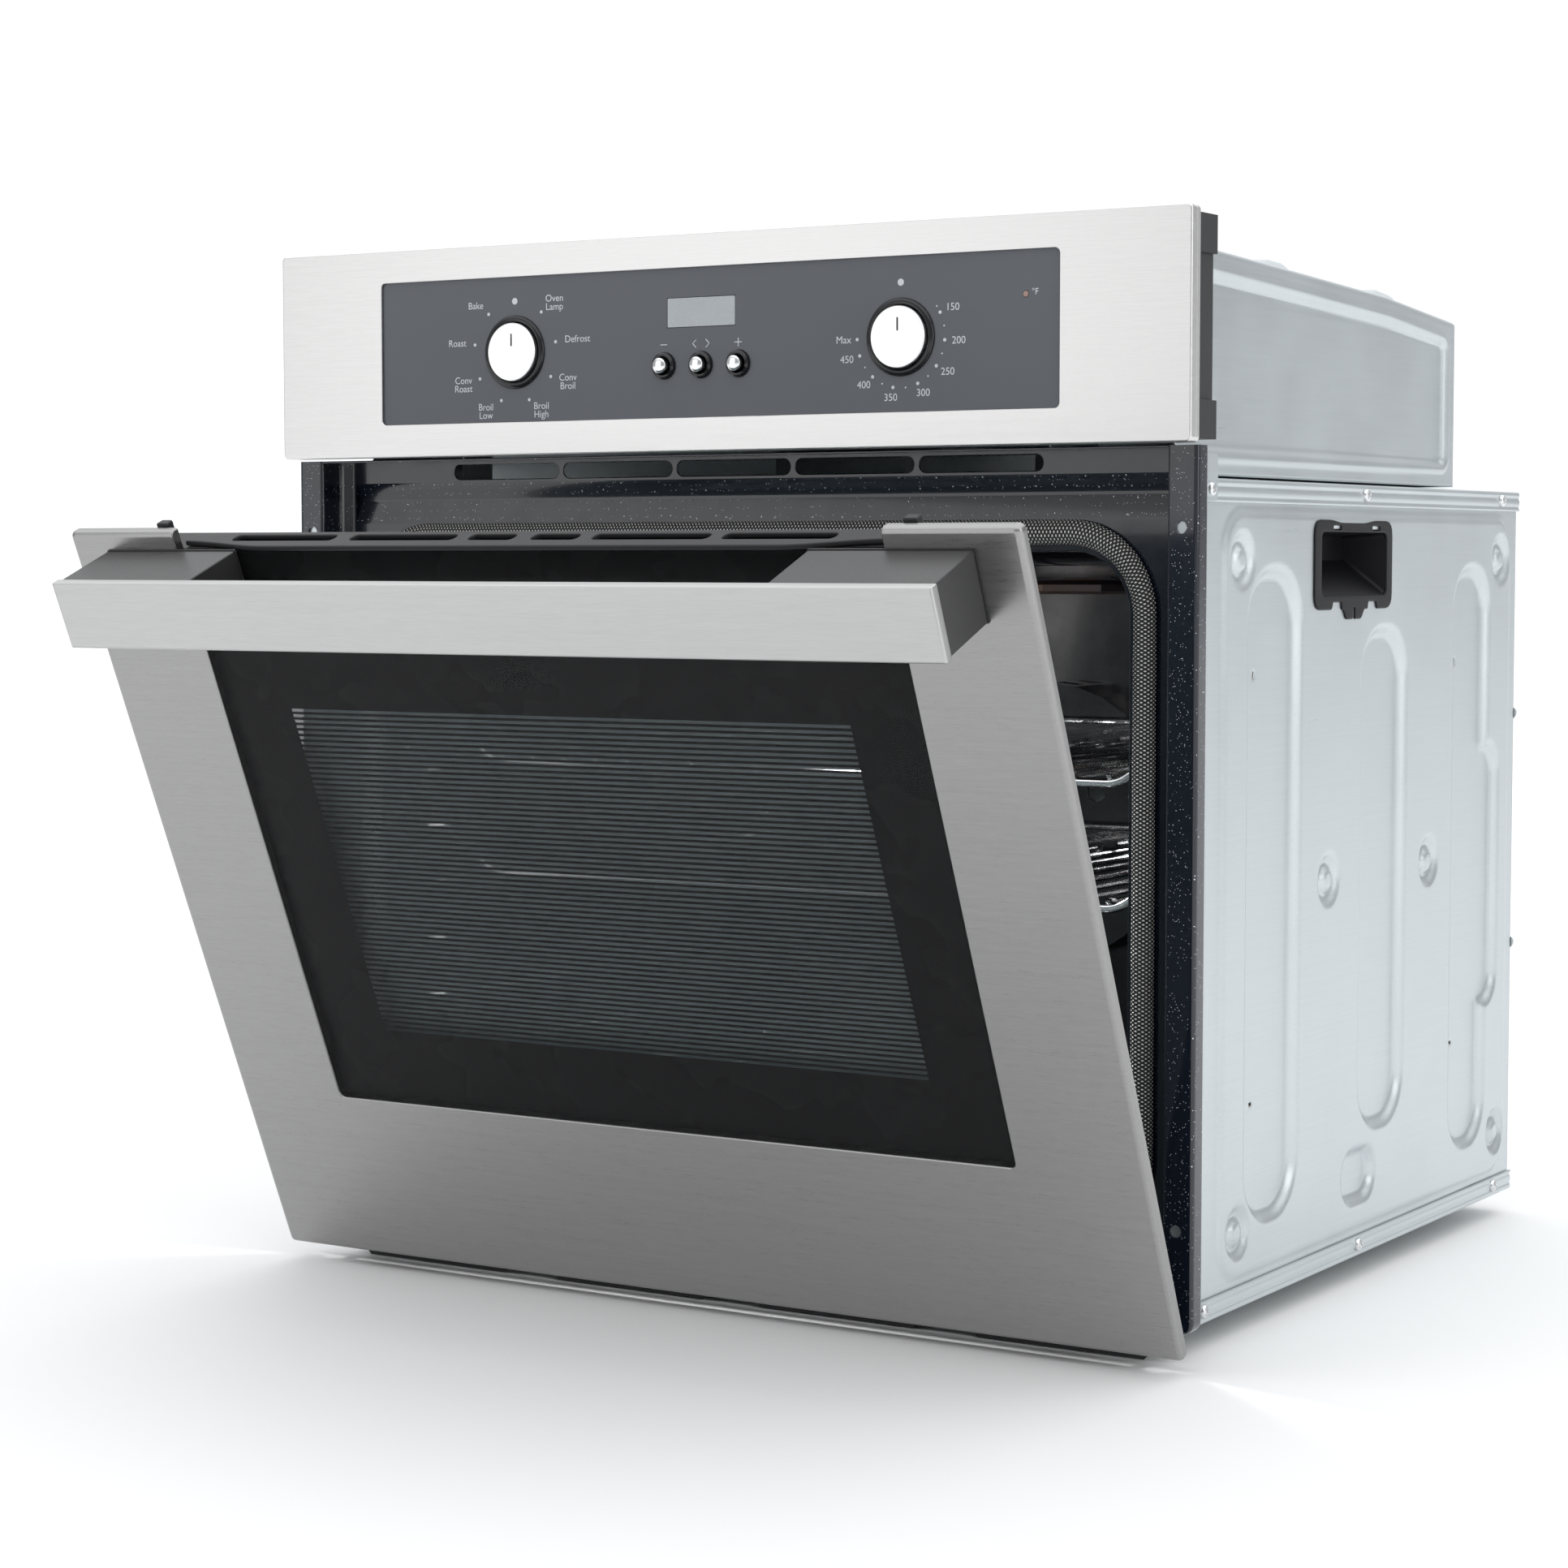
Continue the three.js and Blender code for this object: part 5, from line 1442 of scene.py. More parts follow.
    def make_side(self, word: str, side: int) -> None:
        """Presses one side panel, with its pin holes and the gap for the grip."""
        start, end = low(f"{word}_side_panel"), high(f"{word}_side_panel")
        plane = end.x if side > 0 else -start.x
        ys, zs = steps(start.y, end.y, self.grid), steps(start.z, end.z, self.grid)
        rows = [[(side * (plane + self.relief(y, z)), y, z) for y in ys] for z in zs]
        cut = shifted(self.grip_mouth, self.grip_gap)

        def keep(row: int, column: int) -> bool:
            """Tells whether a quad is neither behind the grip nor in a pin hole."""
            y, z = ys[column] + self.grid / 2, zs[row] + self.grid / 2
            if inside(y, z, cut, self.grip_mouth_radius) < 0:
                return False
            return all(math.hypot(y - py, z - pz) > self.pin_hole_radius for py, pz in self.pin_holes)

        points, faces = sheet(rows, keep)
        if side < 0:
            faces = [tuple(reversed(face)) for face in faces]
        panel = add_piece(f"{word}_side", (points, faces), ZINC, "oven_body", closed=False, crease=60,
                          stands_for=[f"{word}_side_panel"])
        thicken(panel, self.side_gauge)

    def grip_outline(self) -> list[Flat]:
        """The grip's flange, with its two lower notches and its split tongue."""
        y0, y1, z0, z1 = self.grip
        middle = (y0 + y1) / 2
        dip, notch, tongue, slit = z1 - 1.6, z0 + 4.4, z0 - 5.6, 1.4
        corners = [(middle, dip, 1), (y0 + 38, dip, 6), (y0 + 26, z1, 6), (y0, z1, 9), (y0, z0, 9),
                   (y0 + 25, z0, 1.5), (y0 + 27, notch, 1), (y0 + 38.5, notch, 1), (y0 + 39.5, z0, 1),
                   (y0 + 41.5, z0, 2), (y0 + 46, tongue, 2), (middle - slit, tongue, 1.2),
                   (middle - slit, z0 + 1, 1), (middle + slit, z0 + 1, 1), (middle + slit, tongue, 1.2),
                   (y1 - 46, tongue, 2),
                   (y1 - 41.5, z0, 2), (y1 - 36.5, z0, 1), (y1 - 35.5, notch, 1), (y1 - 24.5, notch, 1),
                   (y1 - 22.5, z0, 1.5), (y1, z0, 9), (y1, z1, 9), (y1 - 26, z1, 6), (y1 - 38, dip, 6),
                   (middle, dip, 1)]
        path = filleted([(y, z, 0) for y, z, _ in corners], [radius for _, _, radius in corners[1:-1]], 4)
        return [(y, z) for y, z, _ in path[:-1]]

    def make_grip(self, word: str, side: int) -> None:
        """Moulds one carry grip: its flange with clip slots, and the slanted pocket behind it."""
        y0, y1, _, z1 = self.grip
        face = high("right_carry_grip").x + self.grip_proud
        mouth = rounded_rectangle(*self.grip_mouth, self.grip_mouth_radius, 8)
        clips = [rounded_rectangle(*shifted((y + place, y + place, z1, z1), self.clip_slot), 1.1, 4)
                 for y, place in zip((y0, y1), self.clip_places)]
        flange = [self.grip_outline(), mouth, *clips]
        shapes = [plate(flange, face - self.grip_gauge, face, 0.8, facing_side)]
        deep = low("right_carry_grip").x

        def ring(box: Box, grow: float, x: float) -> list[Point]:
            """A loop of the pocket at that x."""
            loop = rounded_rectangle(*shifted(box, (-grow, grow, -grow, grow)), 3.0 + grow, 8)
            return [(x, y, z) for y, z in loop]

        wall = self.pocket_wall
        shapes.append(loft([ring(self.grip_floor, 0, deep + wall),
                            ring(self.grip_mouth, 0, face - self.pocket_lip),
                            ring(self.grip_mouth, wall, face - wall), ring(self.grip_floor, wall, deep)]))
        shape = together(shapes)
        add_piece(f"{word}_grip", shape if side > 0 else mirrored(shape), GRIP_PLASTIC, "oven_body",
                  stands_for=[f"{word}_carry_grip"])

    def make_folded_trays(self) -> None:
        """Folds the top plate and the base pan, with two beads along each rim."""

        def rim(base: float, up: int) -> list[Flat]:
            """The right edge of a tray, from its flat to its free end."""
            corner = [(BODY_HALF - inset, base + up * rise) for inset, rise in self.rim_bend]
            beads = [(BODY_HALF - depth, base + up * (centre + offset))
                     for centre in self.bead_rows for offset, depth in self.bead]
            return [*corner, *beads, (BODY_HALF, base + up * self.strip)]

        for name, node, base, up in (("top_tray", "top_plate", BODY_TOP, -1),
                                     ("base_tray", "base_pan", 0.0, 1)):
            right = rim(base, up)
            section = [(-x, z) for x, z in reversed(right)] + right
            rows = [[(x, y, z) for x, z in section] for y in (BODY_FRONT, BODY_BACK)]
            points, faces = sheet(rows)
            if up > 0:
                faces = [tuple(reversed(face)) for face in faces]
            tray = add_piece(name, (points, faces), ZINC, "oven_body", closed=False, crease=25,
                             stands_for=[node])
            thicken(tray, self.tray_gauge)
        start, end = (BODY_FRONT + place for place in self.ear)
        ear = rounded_rectangle(start, end, BODY_TOP - self.strip, BODY_TOP + self.ear_top, 3.0, 5)
        near, far = self.ear_depth
        ears = [plate([ear], side * BODY_HALF + near, side * BODY_HALF + far, 0.25, facing_side)
                for side in (-1, 1)]
        add_piece("top_tray_ears", together(ears), ZINC, "oven_body")

    def cover_top(self, y: float) -> float:
        """Height of the upper cover's roof."""
        for (y0, z0), (y1, z1) in zip(self.roof, self.roof[1:]):
            if y <= y1:
                return z0 + (z1 - z0) * (y - y0) / (y1 - y0)
        return self.roof[-1][1]

    def cover_relief(self, y: float, z: float) -> float:
        """How far the upper cover's side is pressed in."""
        span = self.cover_top(y) - self.press_margin - self.press_bottom
        level = (z - self.press_bottom) / span * self.press_box[3]
        edge = inside(y, level, self.press_box, self.press_radius)
        (depth, slope), (ridge, ridge_slope) = self.press_depth, self.ridge
        place, half = self.ridge_place
        return depth * pressed(edge, slope) - ridge * pressed(abs(edge - place) - half, ridge_slope)

    def make_upper_cover(self) -> None:
        """Presses the cover over the controls, with its two roof tabs and its rear."""
        front, back = low("upper_cover").y, high("upper_cover").y
        bottom, half = low("upper_cover").z + self.seam, self.cover_side
        radius, levels = self.roof_bend, self.cover_levels
        fine, coarse = self.roof_margins
        rows = []
        for y in steps(front, back - radius, self.grid):
            roof = self.cover_top(y)
            rise = (roof - radius - bottom) / levels
            heights = [bottom + rise * n for n in range(levels)]
            side = [(half - self.cover_relief(y, z), y, z) for z in heights]
            side += [(half - radius * (1 - math.cos(a)), y, roof - radius * (1 - math.sin(a)))
                     for a in quarter(4)]
            inner = half - radius - 1
            across = [*steps(inner, half - fine, self.grid),
                      *steps(half - coarse, coarse - half, self.roof_grid),
                      *steps(fine - half, -inner, self.grid)]
            top = [(x, y, roof + self.roof_tab(x, y)) for x in across]
            rows.append([*side, *top, *[(-x, py, z) for x, py, z in reversed(side)]])
        cover = add_piece("upper_housing", sheet(rows), ZINC, "oven_body", closed=False, crease=60,
                          stands_for=["upper_cover"])
        thicken(cover, self.side_gauge)
        gap = self.rear_gap
        outline = rounded_rectangle(-half + gap, half - gap, bottom, self.cover_top(back) - gap, 2.0, 5)
        slots = [rounded_rectangle(*shifted((x, x, 0.0, 0.0), self.rear_slot), 3.6, 6)
                 for x in self.rear_slots]
        rear = plate([outline, *slots], back - radius - self.rear_gauge, back, 0.9, facing_front)
        add_piece("housing_rear", rear, ZINC, "oven_body")

    def roof_tab(self, x: float, y: float) -> float:
        """Height of the two tongues pressed up from the roof."""
        rise = 0.0
        half, slope = self.tab_half
        for start, end in self.tab_rows:
            along = min(1.0, max(0.0, (y - start) / (end - start)) * self.tab_ramp)
            gone = pressed(y - end, self.tab_end)
            across = pressed(abs(abs(x) - self.tab_x) - half, slope)
            rise = max(rise, self.tab_height * along * gone * across)
        return rise

    def make_screws(self) -> None:
        """Drives the casing's screws."""
        screw = PanScrew()
        heads = []
        (upper_rim, lower_rim), (rear_upper, rear_lower) = self.screw_rims, self.rear_rims
        for side in (-1, 1):
            for y in self.screw_rows:
                for z in (BODY_TOP - upper_rim, lower_rim):
                    proud = self.ear_depth[1] if y < BODY_FRONT + self.ear[1] and z > self.strip else 0.0
                    heads.append(screw.shape((side * (BODY_HALF + proud), y, z), (side, 0, 0)))
            for z in self.rear_side_screws:
                seat = (side * (BODY_HALF - self.rear_screw_inset), BODY_BACK, z)
                heads.append(screw.shape(seat, (0, 1, 0)))
            for x in self.rear_screws:
                for z in (BODY_TOP - rear_upper, rear_lower):
                    heads.append(screw.shape((side * x, BODY_BACK, z), (0, 1, 0)))
        add_piece("casing_screws", together(heads), SCREW, "oven_body")


# ---------------------------------------------------------------- cavity

@dataclass
class Cavity:
    """The enamelled oven chamber with its racks and rails."""

    mouth: Box = MOUTH
    corner: float = MOUTH_RADIUS
    skin: float = 1.2
    back_bend: float = 9.0
    rim: float = 17.0
    wire: float = 1.9
    frame_wire: float = 2.6
    wire_bend: float = 9.0
    # A rack's raised front: where it leaves the level, then where it is raised.
    rack_front: tuple[float, ...] = (30.0, 8.0)
    rack_corner: Flat = (4.0, 16.0)
    rack_lift: float = 8.0
    stop_inset: float = 6.0
    stop_drop: float = 2.0
    bar_pitch: float = 23.0
    bars: int = 9
    # A bar's front end, then its knee: y from the rack's front, and height.
    bar_tip: Flat = (-1.0, 5.2)
    bar_knee: Flat = (-0.6, 1.4)
    bar_start: float = 6.0
    bar_bite: float = 1.2
    ladder_x: float = 233.8
    ladder_rows: tuple[float, ...] = (89.0, 178.0, 268.0, 358.0)
    ladder_span: Flat = (86.0, 330.0)
    ladder_wire: float = 1.8
    runner_x: float = 230.5
    runner_levels: tuple[float, ...] = (113.6, 148.0, 182.3, 216.7, 251.0, 285.4)
    runner_drop: float = 4.7
    # y of a runner's hooked start, its straight part and its hooked end.
    runner_rows: tuple[float, ...] = (60.0, 70.0, 404.0, 412.0)
    runner_hook: float = 4.0
    runner_wire: float = 2.0
    wall_x: float = 246.6
    foot_levels: Flat = (98.0, 318.0)
    foot: tuple[Flat, ...] = ((0.0, 0.0), (4.0, 0.0), (4.0, 1.2), (2.5, 2.0), (2.5, 13.0), (0.0, 13.0))

    def build(self) -> None:
        """Makes the chamber, the racks and the rails."""
        self.make_liner()
        for word in ("upper", "lower"):
            self.make_rack(word)
        for word, side in (("right", 1), ("left", -1)):
            self.make_rails(word, side)
        fan_cover = frame["nodes"]["fan_cover"]
        # The fan cover takes the chamber's darker enamel, which is painted shade.
        fan_cover.data.materials[0] = CHAMBER_ENAMEL_SHADED.material()
        soften(fan_cover, 0.8)

    def make_liner(self) -> None:
        """Draws the chamber with round corners."""
        start, end = low("cavity_liner"), high("cavity_liner")
        skin, bend, bends = self.skin, self.back_bend, quarter(6)

        def ring(grow: float, y: float) -> list[Point]:
            """A loop of the chamber at that y."""
            x0, x1, z0, z1 = self.mouth
            loop = rounded_rectangle(x0 - grow, x1 + grow, z0 - grow, z1 + grow, self.corner + grow, 12)
            return [(x, y, z) for x, z in loop]

        inner = [ring(-bend * (1 - math.cos(a)), end.y - skin - bend * (1 - math.sin(a)))
                 for a in reversed(bends)]
        rim = [ring(0, start.y), ring(self.rim, start.y), ring(self.rim, start.y + skin),
               ring(skin, start.y + skin)]
        outer = [ring(skin - bend * (1 - math.cos(a)), end.y - bend * (1 - math.sin(a))) for a in bends]
        add_piece("oven_chamber", loft([*inner, *rim, *outer]), CHAMBER_ENAMEL_SHADED, "oven_body",
                  stands_for=["cavity_liner"])

    def make_rack(self, word: str) -> None:
        """Bends and welds one wire rack."""
        node = f"{word}_rack"
        start, end = low(node), high(node)
        z = start.z + self.frame_wire
        half = end.x - self.frame_wire
        front, back = start.y + self.frame_wire, end.y - self.frame_wire
        (level_y, raised_y), (raised_x, level_x) = self.rack_front, self.rack_corner
        raised = z + self.rack_lift
        left = [(-half, back, z), (-half, front + level_y, z), (-half, front + raised_y, raised),
                (-half + raised_x, front, raised), (-half + level_x, front, z)]
        rail = left + [(-x, y, height) for x, y, height in reversed(left)]
        wires = [tube(filleted(rail, self.wire_bend, 6), self.frame_wire, 12),
                 tube([(-half, back, z), (half, back, z)], self.frame_wire, 12)]
        stop, side = end.z - self.stop_drop, half - self.stop_inset
        hoop = [(-side, back, z), (-side, back, stop), (side, back, stop), (side, back, z)]
        wires.append(tube(filleted(hoop, self.wire_bend, 6), self.wire, 10))
        (tip_y, tip_z), (knee_y, knee_z) = self.bar_tip, self.bar_knee
        bed = z + self.frame_wire + self.wire - self.bar_bite
        for n in range(-self.bars, self.bars + 1):
            x = n * self.bar_pitch
            bar = [(x, front + tip_y, z + tip_z), (x, front + knee_y, z + self.frame_wire + knee_z),
                   (x, front + self.bar_start, bed), (x, back, bed)]
            wires.append(tube(filleted(bar, 3.0, 4), self.wire, 8))
        add_piece(f"{word}_wire_rack", together(wires), CHROME, node, stands_for=[node])

    def make_rails(self, word: str, side: int) -> None:
        """Bends one side's ladder of runners."""
        x, hook = self.ladder_x, self.ladder_x + self.runner_hook
        wires = []
        for y in self.ladder_rows:
            wires.append(tube([(x, y, z) for z in self.ladder_span], self.ladder_wire, 10))
        for level in self.runner_levels:
            z = level - self.runner_drop
            places = (hook, self.runner_x, self.runner_x, hook)
            run = [(across, y, z) for across, y in zip(places, self.runner_rows)]
            wires.append(tube(filleted(run, 4.0, 4), self.runner_wire, 10))
        foot_points, foot_faces = lathe(self.foot, (0, 0), 24)
        for y in (self.ladder_rows[0], self.ladder_rows[-1]):
            for z in self.foot_levels:
                wires.append(([(self.wall_x - py, y + px, z + pz) for px, py, pz in foot_points], foot_faces))
        shape = together(wires)
        add_piece(f"{word}_runner_ladder", shape if side > 0 else mirrored(shape), CHROME, "oven_body",
                  stands_for=[f"{word}_rack_rail"])


# ---------------------------------------------------------------- door

@dataclass
class Door:
    """The drop-down door, drawn closed."""

    front: float = -4.7
    bottom: float = -1.4
    height: float = 465.2
    stile_inner: float = 222.5
    sill: float = 109.5
    skin_depth: float = 6.0
    corner: float = 4.0
    roll: float = 3.4
    view: Box = (-178.5, 178.5, 153.5, 358.0)
    stripes: int = 61
    stripe_share: float = 0.46
    slots: tuple[Flat, ...] = ((-190, -120), (-109, -40), (-31, -2), (9, 38), (47, 117), (125, 190))
    roll_lip: float = 0.6
    upper_bend: float = 1.5
    # Front, back, foot and head of the panes; the outer one's from the skin's front and foot.
    outer_glass: Box = (1.3, 5.3, 3.0, 453.2)
    middle_glass: Box = (10.0, 13.0, 40.0, 430.0)
    inner_glass: Box = (23.1, 27.1, 22.0, 446.0)
    border: Box = (-294.0, 294.0, 4.0, 452.5)
    print_place: float = 5.35
    print_depth: float = 0.2
    print_edge: float = 0.02
    stripe_overlap: float = 0.5
    cap_half: float = 221.5
    cap_top: float = 456.5
    cap_depth: float = 20.0
    cap_gauge: float = 3.0
    # The cap's bowed front: width of each bend, its start and its depth.
    bow: Point = (60.0, 8.0, 7.4)
    bow_parts: int = 12
    slot_depth: Flat = (8.5, 16.0)
    lug_places: Flat = (-235.0, 235.0)
    lug_half: float = 4.0
    # A lug's start below the cap's top, and its end above the door's.
    lug_reach: Flat = (-6.0, 1.8)
    lug_depth: Flat = (8.0, 13.0)
    liner_edge: float = 0.5
    reach: float = 47.0
    bar: Box = (-273.0, 273.0, 416.5, 455.0)
    bar_thickness: float = 6.0
    post: Flat = (180.5, 271.5)
    # A post's limits from its span and the bar's height, then its gaps to the bar and the door.
    post_shifts: Box = (0.0, 0.0, 0.5, -0.7)
    post_gaps: Flat = (0.1, 0.9)
    seat_shifts: Box = (-0.6, 0.6, 0.0, -0.1)
    seat_depth: Flat = (-1.0, 0.2)

    def build(self) -> None:
        """Makes every visible piece of the door."""
        self.make_skin()
        self.make_panes()
        self.make_print()
        self.make_cap()
        self.make_handle()
        soften(frame["nodes"]["door_liner"], self.liner_edge)

    def level(self, height: float) -> float:
        """z of a height above the door's lower edge."""
        return self.bottom + height

    def piece(self, name: str, shape: Shape, finish: Finish,
              stands_for: Sequence[str] = ()) -> bpy.types.Object:
        """Adds a piece that rides on the door."""
        return add_piece(name, shape, finish, "door", Space.DOOR, stands_for=stands_for)

    def skin_loop(self, roll: float, lip: float, y: float) -> list[Point]:
        """One loop of the skin.

        Args:
            roll: how far the outer edges are drawn in.
            lip: how far the edges round the glass are drawn in.
            y: the loop's depth.

        Returns:
            The loop's points.
        """
        half, bottom, top = FRONT_HALF - roll, self.bottom + roll, self.level(self.height) - roll
        inner, sill = self.stile_inner + lip, self.level(self.sill) - lip
        outer_bend, inner_bend = max(self.roll_lip, self.corner - roll), self.corner + lip
        right = [(half, bottom, outer_bend), (half, top, outer_bend), (inner, top, self.upper_bend),
                 (inner, sill, inner_bend)]
        left = [(-x, z, bend) for x, z, bend in reversed(right)]
        corners = [(0.0, bottom, 0.0), *right, *left, (0.0, bottom, 0.0)]
        path = filleted([(x, y, z) for x, z, _ in corners], [bend for _, _, bend in corners[1:-1]], 6)
        return path[:-1]

    def make_skin(self) -> None:
        """Presses the stainless frame with its two stiles and bottom rail, rolled at its outer edges."""
        loops = [self.skin_loop(0.0, 0.0, self.front + self.skin_depth)]
        for turn in quarter(6):
            y = self.front + self.roll * (1 - math.sin(turn))
            lip = max(0.0, self.roll_lip - y + self.front)
            loops.append(self.skin_loop(self.roll * (1 - math.cos(turn)), lip, y))
        self.piece("door_frame", loft(loops), DOOR_STAINLESS_SHADED, ["door_skin"])

    def make_panes(self) -> None:
        """Cuts the three glass panes."""
        near, far, foot, head = self.outer_glass
        outer = (self.front + near, self.front + far, self.level(foot), self.level(head))
        for word, limits, finish, corner in (("outer", outer, OUTER_PANE, 3.0),
                                             ("middle", self.middle_glass, INNER_PANE_PAINTED_LIGHT, 5.0),
                                             ("inner", self.inner_glass, INNER_PANE_PAINTED_LIGHT, 10.0)):
            node = f"door_{word}_glass"
            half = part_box(node)[1][0] / MM
            y0, y1, z0, z1 = limits
            outline = rounded_rectangle(-half, half, z0, z1, corner, 8)
            self.piece(f"{word}_pane", plate([outline], y0, y1, 0.5, facing_front), finish, [node])

    def make_print(self) -> None:
        """Prints the black border and the fine bars across the window."""
        near, edge = self.front + self.print_place, self.print_edge
        far = near + self.print_depth
        left, right, foot, head = self.border
        x0, x1, low_s, high_s = self.view
        z0, z1 = self.level(low_s), self.level(high_s)
        border = [rounded_rectangle(left, right, self.level(foot), self.level(head), 2.0, 4),
                  rounded_rectangle(x0, x1, z0, z1, 0.5, 2)]
        shapes = [plate(border, near, far, edge, facing_front)]
        pitch = (z1 - z0) / self.stripes
        over = self.stripe_overlap
        for n in range(self.stripes):
            low_z = z0 + pitch * n
            bar = rounded_rectangle(x0 - over, x1 + over, low_z, low_z + pitch * self.stripe_share, 0.2, 2)
            shapes.append(plate([bar], near + edge, far - edge, edge, facing_front))
        self.piece("window_print", together(shapes), PRINT)

    def make_cap(self) -> None:
        """Moulds the vented cap between the stiles."""
        back, top, half = self.front + self.cap_depth, self.level(self.cap_top), self.cap_half
        width, start, depth = self.bow
        parts = self.bow_parts
        bow = [(-half + width * n / parts, self.front + start - depth * eased(n / parts))
               for n in range(parts + 1)]
        outline = [(-half, back), *bow, *[(-x, y) for x, y in reversed(bow)], (half, back)]
        near, far = (self.front + place for place in self.slot_depth)
        slots = [rounded_rectangle(x0, x1, near, far, 3.2, 6) for x0, x1 in self.slots]
        self.piece("vent_cap", plate([outline, *slots], top - self.cap_gauge, top, 0.8, facing_up), PLASTIC,
                   ["door_vent_cap"])
        down, up = self.lug_reach
        near, far = (self.front + place for place in self.lug_depth)
        lugs = [plate([rounded_rectangle(x - self.lug_half, x + self.lug_half, top + down,
                                         self.level(self.height) + up, 1.2, 5)], near, far, 0.5, facing_front)
                for x in self.lug_places]
        self.piece("cap_lugs", together(lugs), PLASTIC)

    def make_handle(self) -> None:
        """Makes the flat bar, its two posts and their seats."""
        x0, x1, s0, s1 = self.bar
        front = self.front - self.reach
        back = front + self.bar_thickness
        outline = rounded_rectangle(x0, x1, self.level(s0), self.level(s1), 0.8, 4)
        self.piece("grab_bar", plate([outline], front, back, 1.1, facing_front), BAR_STAINLESS_SHADED,
                   ["handle_bar"])
        for word, side in (("right", 1), ("left", -1)):
            near, far = self.post if side > 0 else (-self.post[1], -self.post[0])
            x_from, x_to, foot, head = shifted((near, far, s0, s1), self.post_shifts)
            body = rounded_rectangle(x_from, x_to, self.level(foot), self.level(head), 0.9, 4)
            behind_bar, before_door = self.post_gaps
            post = plate([body], back + behind_bar, self.front - before_door, 0.3, facing_front)
            self.piece(f"{word}_post", post, POST_GREY, [f"{word}_handle_post"])
            x_from, x_to, foot, head = shifted((near, far, s0, s1), self.seat_shifts)
            seat = rounded_rectangle(x_from, x_to, self.level(foot), self.level(head), 1.2, 4)
            start, end = (self.front + place for place in self.seat_depth)
            self.piece(f"{word}_post_seat", plate([seat], start, end, 0.2, facing_front), PLASTIC)


# ---------------------------------------------------------------- studio

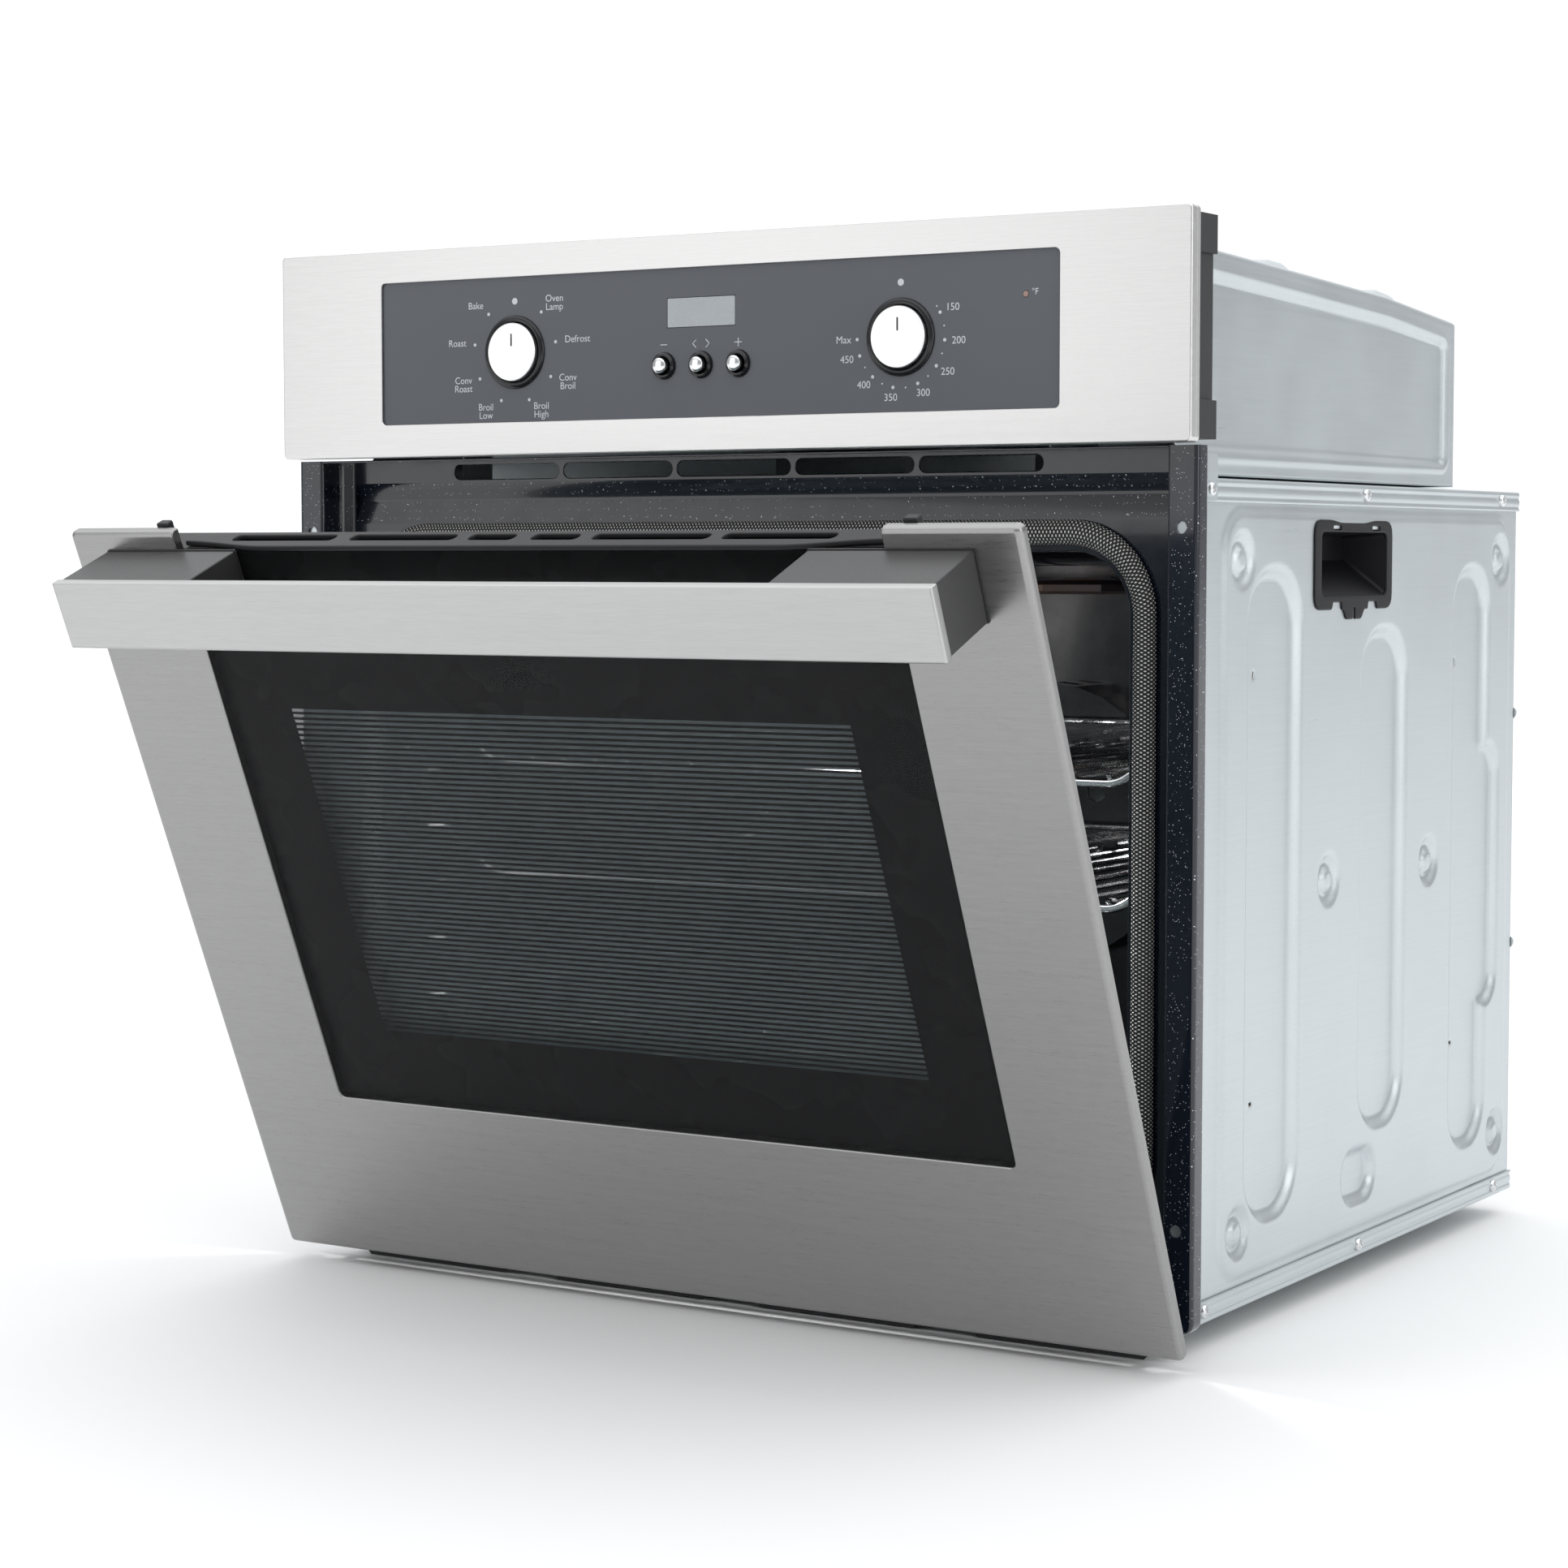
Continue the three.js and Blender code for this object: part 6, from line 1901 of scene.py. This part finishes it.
@dataclass
class Studio:
    """The floor, the light and the camera."""

    eye: Point = (1043.8, -1582.6, 408.1)
    yaw: float = 32.0
    pitch: float = 3.77
    lens: float = 78.56
    sensor: float = 36.0
    floor_half: float = 14.0
    floor_gap: float = 0.0005
    floor_tones: tuple[Point, Point] = ((0.86, 0.86, 0.86), (0.9, 0.9, 0.9))
    air: Point = (0.98, 0.99, 1.0)
    room: float = 0.45
    backdrop: float = 1.15
    ceiling: float = 1.65
    # Each fade runs between two cosines of the angle from its middle.
    backdrop_fade: Flat = (0.6, 0.93)
    ceiling_fade: Flat = (0.4, 0.75)
    ground_fade: Flat = (0.0, 0.03)
    # Name, place, aim, size and power of each lamp.
    lamps: tuple[tuple[str, Point, Point, float, float], ...] = (
        ("front_box", (-1.6, -2.8, 1.1), (0.0, 0.0, 0.3), 1.7, 8.6),
        ("side_box", (2.8, -0.7, 1.2), (0.0, 0.0, 0.3), 1.6, 14.0),
        ("chamber_lamp", (0.0, -0.21, 0.384), (0.0, 0.0, 0.16), 0.05, 1.5))

    def build(self) -> None:
        """Sets up the studio round the finished oven."""
        self.make_floor()
        self.make_room()
        self.make_light()
        self.make_camera()

    def make_floor(self) -> None:
        """Lays a plain pale floor under the oven."""
        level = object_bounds()[0][2] - self.floor_gap
        mesh = bpy.data.meshes.new("floor")
        reach = self.floor_half
        mesh.from_pydata([(-reach, -reach, level), (reach, -reach, level), (reach, reach, level),
                          (-reach, reach, level)], [], [(0, 1, 2, 3)])
        floor = bpy.data.objects.new("floor", mesh)
        bpy.context.scene.collection.objects.link(floor)
        pad = NodePad("studio_floor")
        pad.color(pad.mix(pad.noise(0.7, 2.0), *self.floor_tones))
        pad.set(Roughness=0.7)
        mesh.materials.append(pad.material)
        floor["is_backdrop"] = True

    def make_room(self) -> None:
        """Paints the room: a white backdrop, ceiling and ground past the floor, and soft grey walls."""
        world = bpy.data.worlds.new("room")
        world.use_nodes = True
        tree = world.node_tree
        turn = math.radians(self.yaw)
        behind = (-math.sin(turn), math.cos(turn), 0.0)
        toward = tree.nodes.new("ShaderNodeTexCoord").outputs["Generated"]
        fades = []
        for axis, (start, end), level in ((behind, self.backdrop_fade, self.backdrop),
                                          ((0.0, 0.0, 1.0), self.ceiling_fade, self.ceiling),
                                          ((0.0, 0.0, -1.0), self.ground_fade, self.backdrop)):
            aim = tree.nodes.new("ShaderNodeVectorMath")
            aim.operation = "DOT_PRODUCT"
            aim.inputs[1].default_value = axis
            tree.links.new(toward, aim.inputs[0])
            fade = tree.nodes.new("ShaderNodeMapRange")
            fade.interpolation_type = "SMOOTHSTEP"
            limits = (start, end, self.room, level)
            for name, value in zip(("From Min", "From Max", "To Min", "To Max"), limits):
                fade.inputs[name].default_value = value
            tree.links.new(aim.outputs["Value"], fade.inputs["Value"])
            fades.append(fade.outputs["Result"])
        strength = fades[0]
        for fade in fades[1:]:
            brighter = tree.nodes.new("ShaderNodeMath")
            brighter.operation = "MAXIMUM"
            tree.links.new(strength, brighter.inputs[0])
            tree.links.new(fade, brighter.inputs[1])
            strength = brighter.outputs["Value"]
        background = tree.nodes["Background"]
        tree.links.new(strength, background.inputs["Strength"])
        background.inputs["Color"].default_value = (*self.air, 1.0)
        bpy.context.scene.world = world

    def make_light(self) -> None:
        """Hangs the soft boxes, and a small lamp under the roof of the oven chamber."""
        for name, place, target, size, power in self.lamps:
            lamp = bpy.data.lights.new(name, "AREA")
            lamp.size = size
            lamp.energy = power
            holder = bpy.data.objects.new(name, lamp)
            holder.location = place
            holder.rotation_euler = (Vector(target) - Vector(place)).to_track_quat("-Z", "Y").to_euler()
            bpy.context.scene.collection.objects.link(holder)

    def make_camera(self) -> None:
        """Stands the camera to the right of the oven, at the height of its handle."""
        yaw, pitch = math.radians(self.yaw), math.radians(self.pitch)
        gaze = Vector((-math.sin(yaw) * math.cos(pitch), math.cos(yaw) * math.cos(pitch), -math.sin(pitch)))
        lens = bpy.data.cameras.new("camera")
        lens.lens = self.lens
        lens.sensor_width = self.sensor
        camera = bpy.data.objects.new("camera", lens)
        camera.location = to_frame(self.eye, Space.BODY)
        camera.rotation_euler = gaze.to_track_quat("-Z", "Y").to_euler()
        bpy.context.scene.collection.objects.link(camera)
        bpy.context.scene.camera = camera


def dress_carried_nodes() -> None:
    """Gives every CAD node its slot's finish."""
    for entry in frame["record"]["subparts"]:
        node = frame["nodes"][entry["node"]]
        node.data.materials.clear()
        node.data.materials.append(BY_SLOT[entry["material_slot"]].material())


def made_pieces() -> list[bpy.types.Object]:
    """The mesh pieces made here, without the CAD nodes and the floor."""
    own = set(frame["nodes"].values())
    return [piece for piece in bpy.context.scene.objects
            if piece.type == "MESH" and piece not in own and piece.name != "floor"]


def even_normals() -> None:
    """Shades large flats evenly, so that a narrow bend doesn't pull at them."""
    for piece in made_pieces():
        normals = piece.modifiers.new("normals", "WEIGHTED_NORMAL")
        normals.keep_sharp = True
        normals.weight = FLAT_WEIGHT


def main() -> None:
    """Builds the oven, sub-assembly by sub-assembly."""
    logging.basicConfig(level=logging.INFO, format="%(name)s: %(message)s")
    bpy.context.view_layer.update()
    bpy.context.scene.view_settings.view_transform = "Standard"
    dress_carried_nodes()
    for assembly in (ControlPanel(), FrontFrame(), BodyShell(), Cavity(), Door(), Studio()):
        log.info("building %s", type(assembly).__name__)
        assembly.build()
    even_normals()


if __name__ == "__main__":
    main()
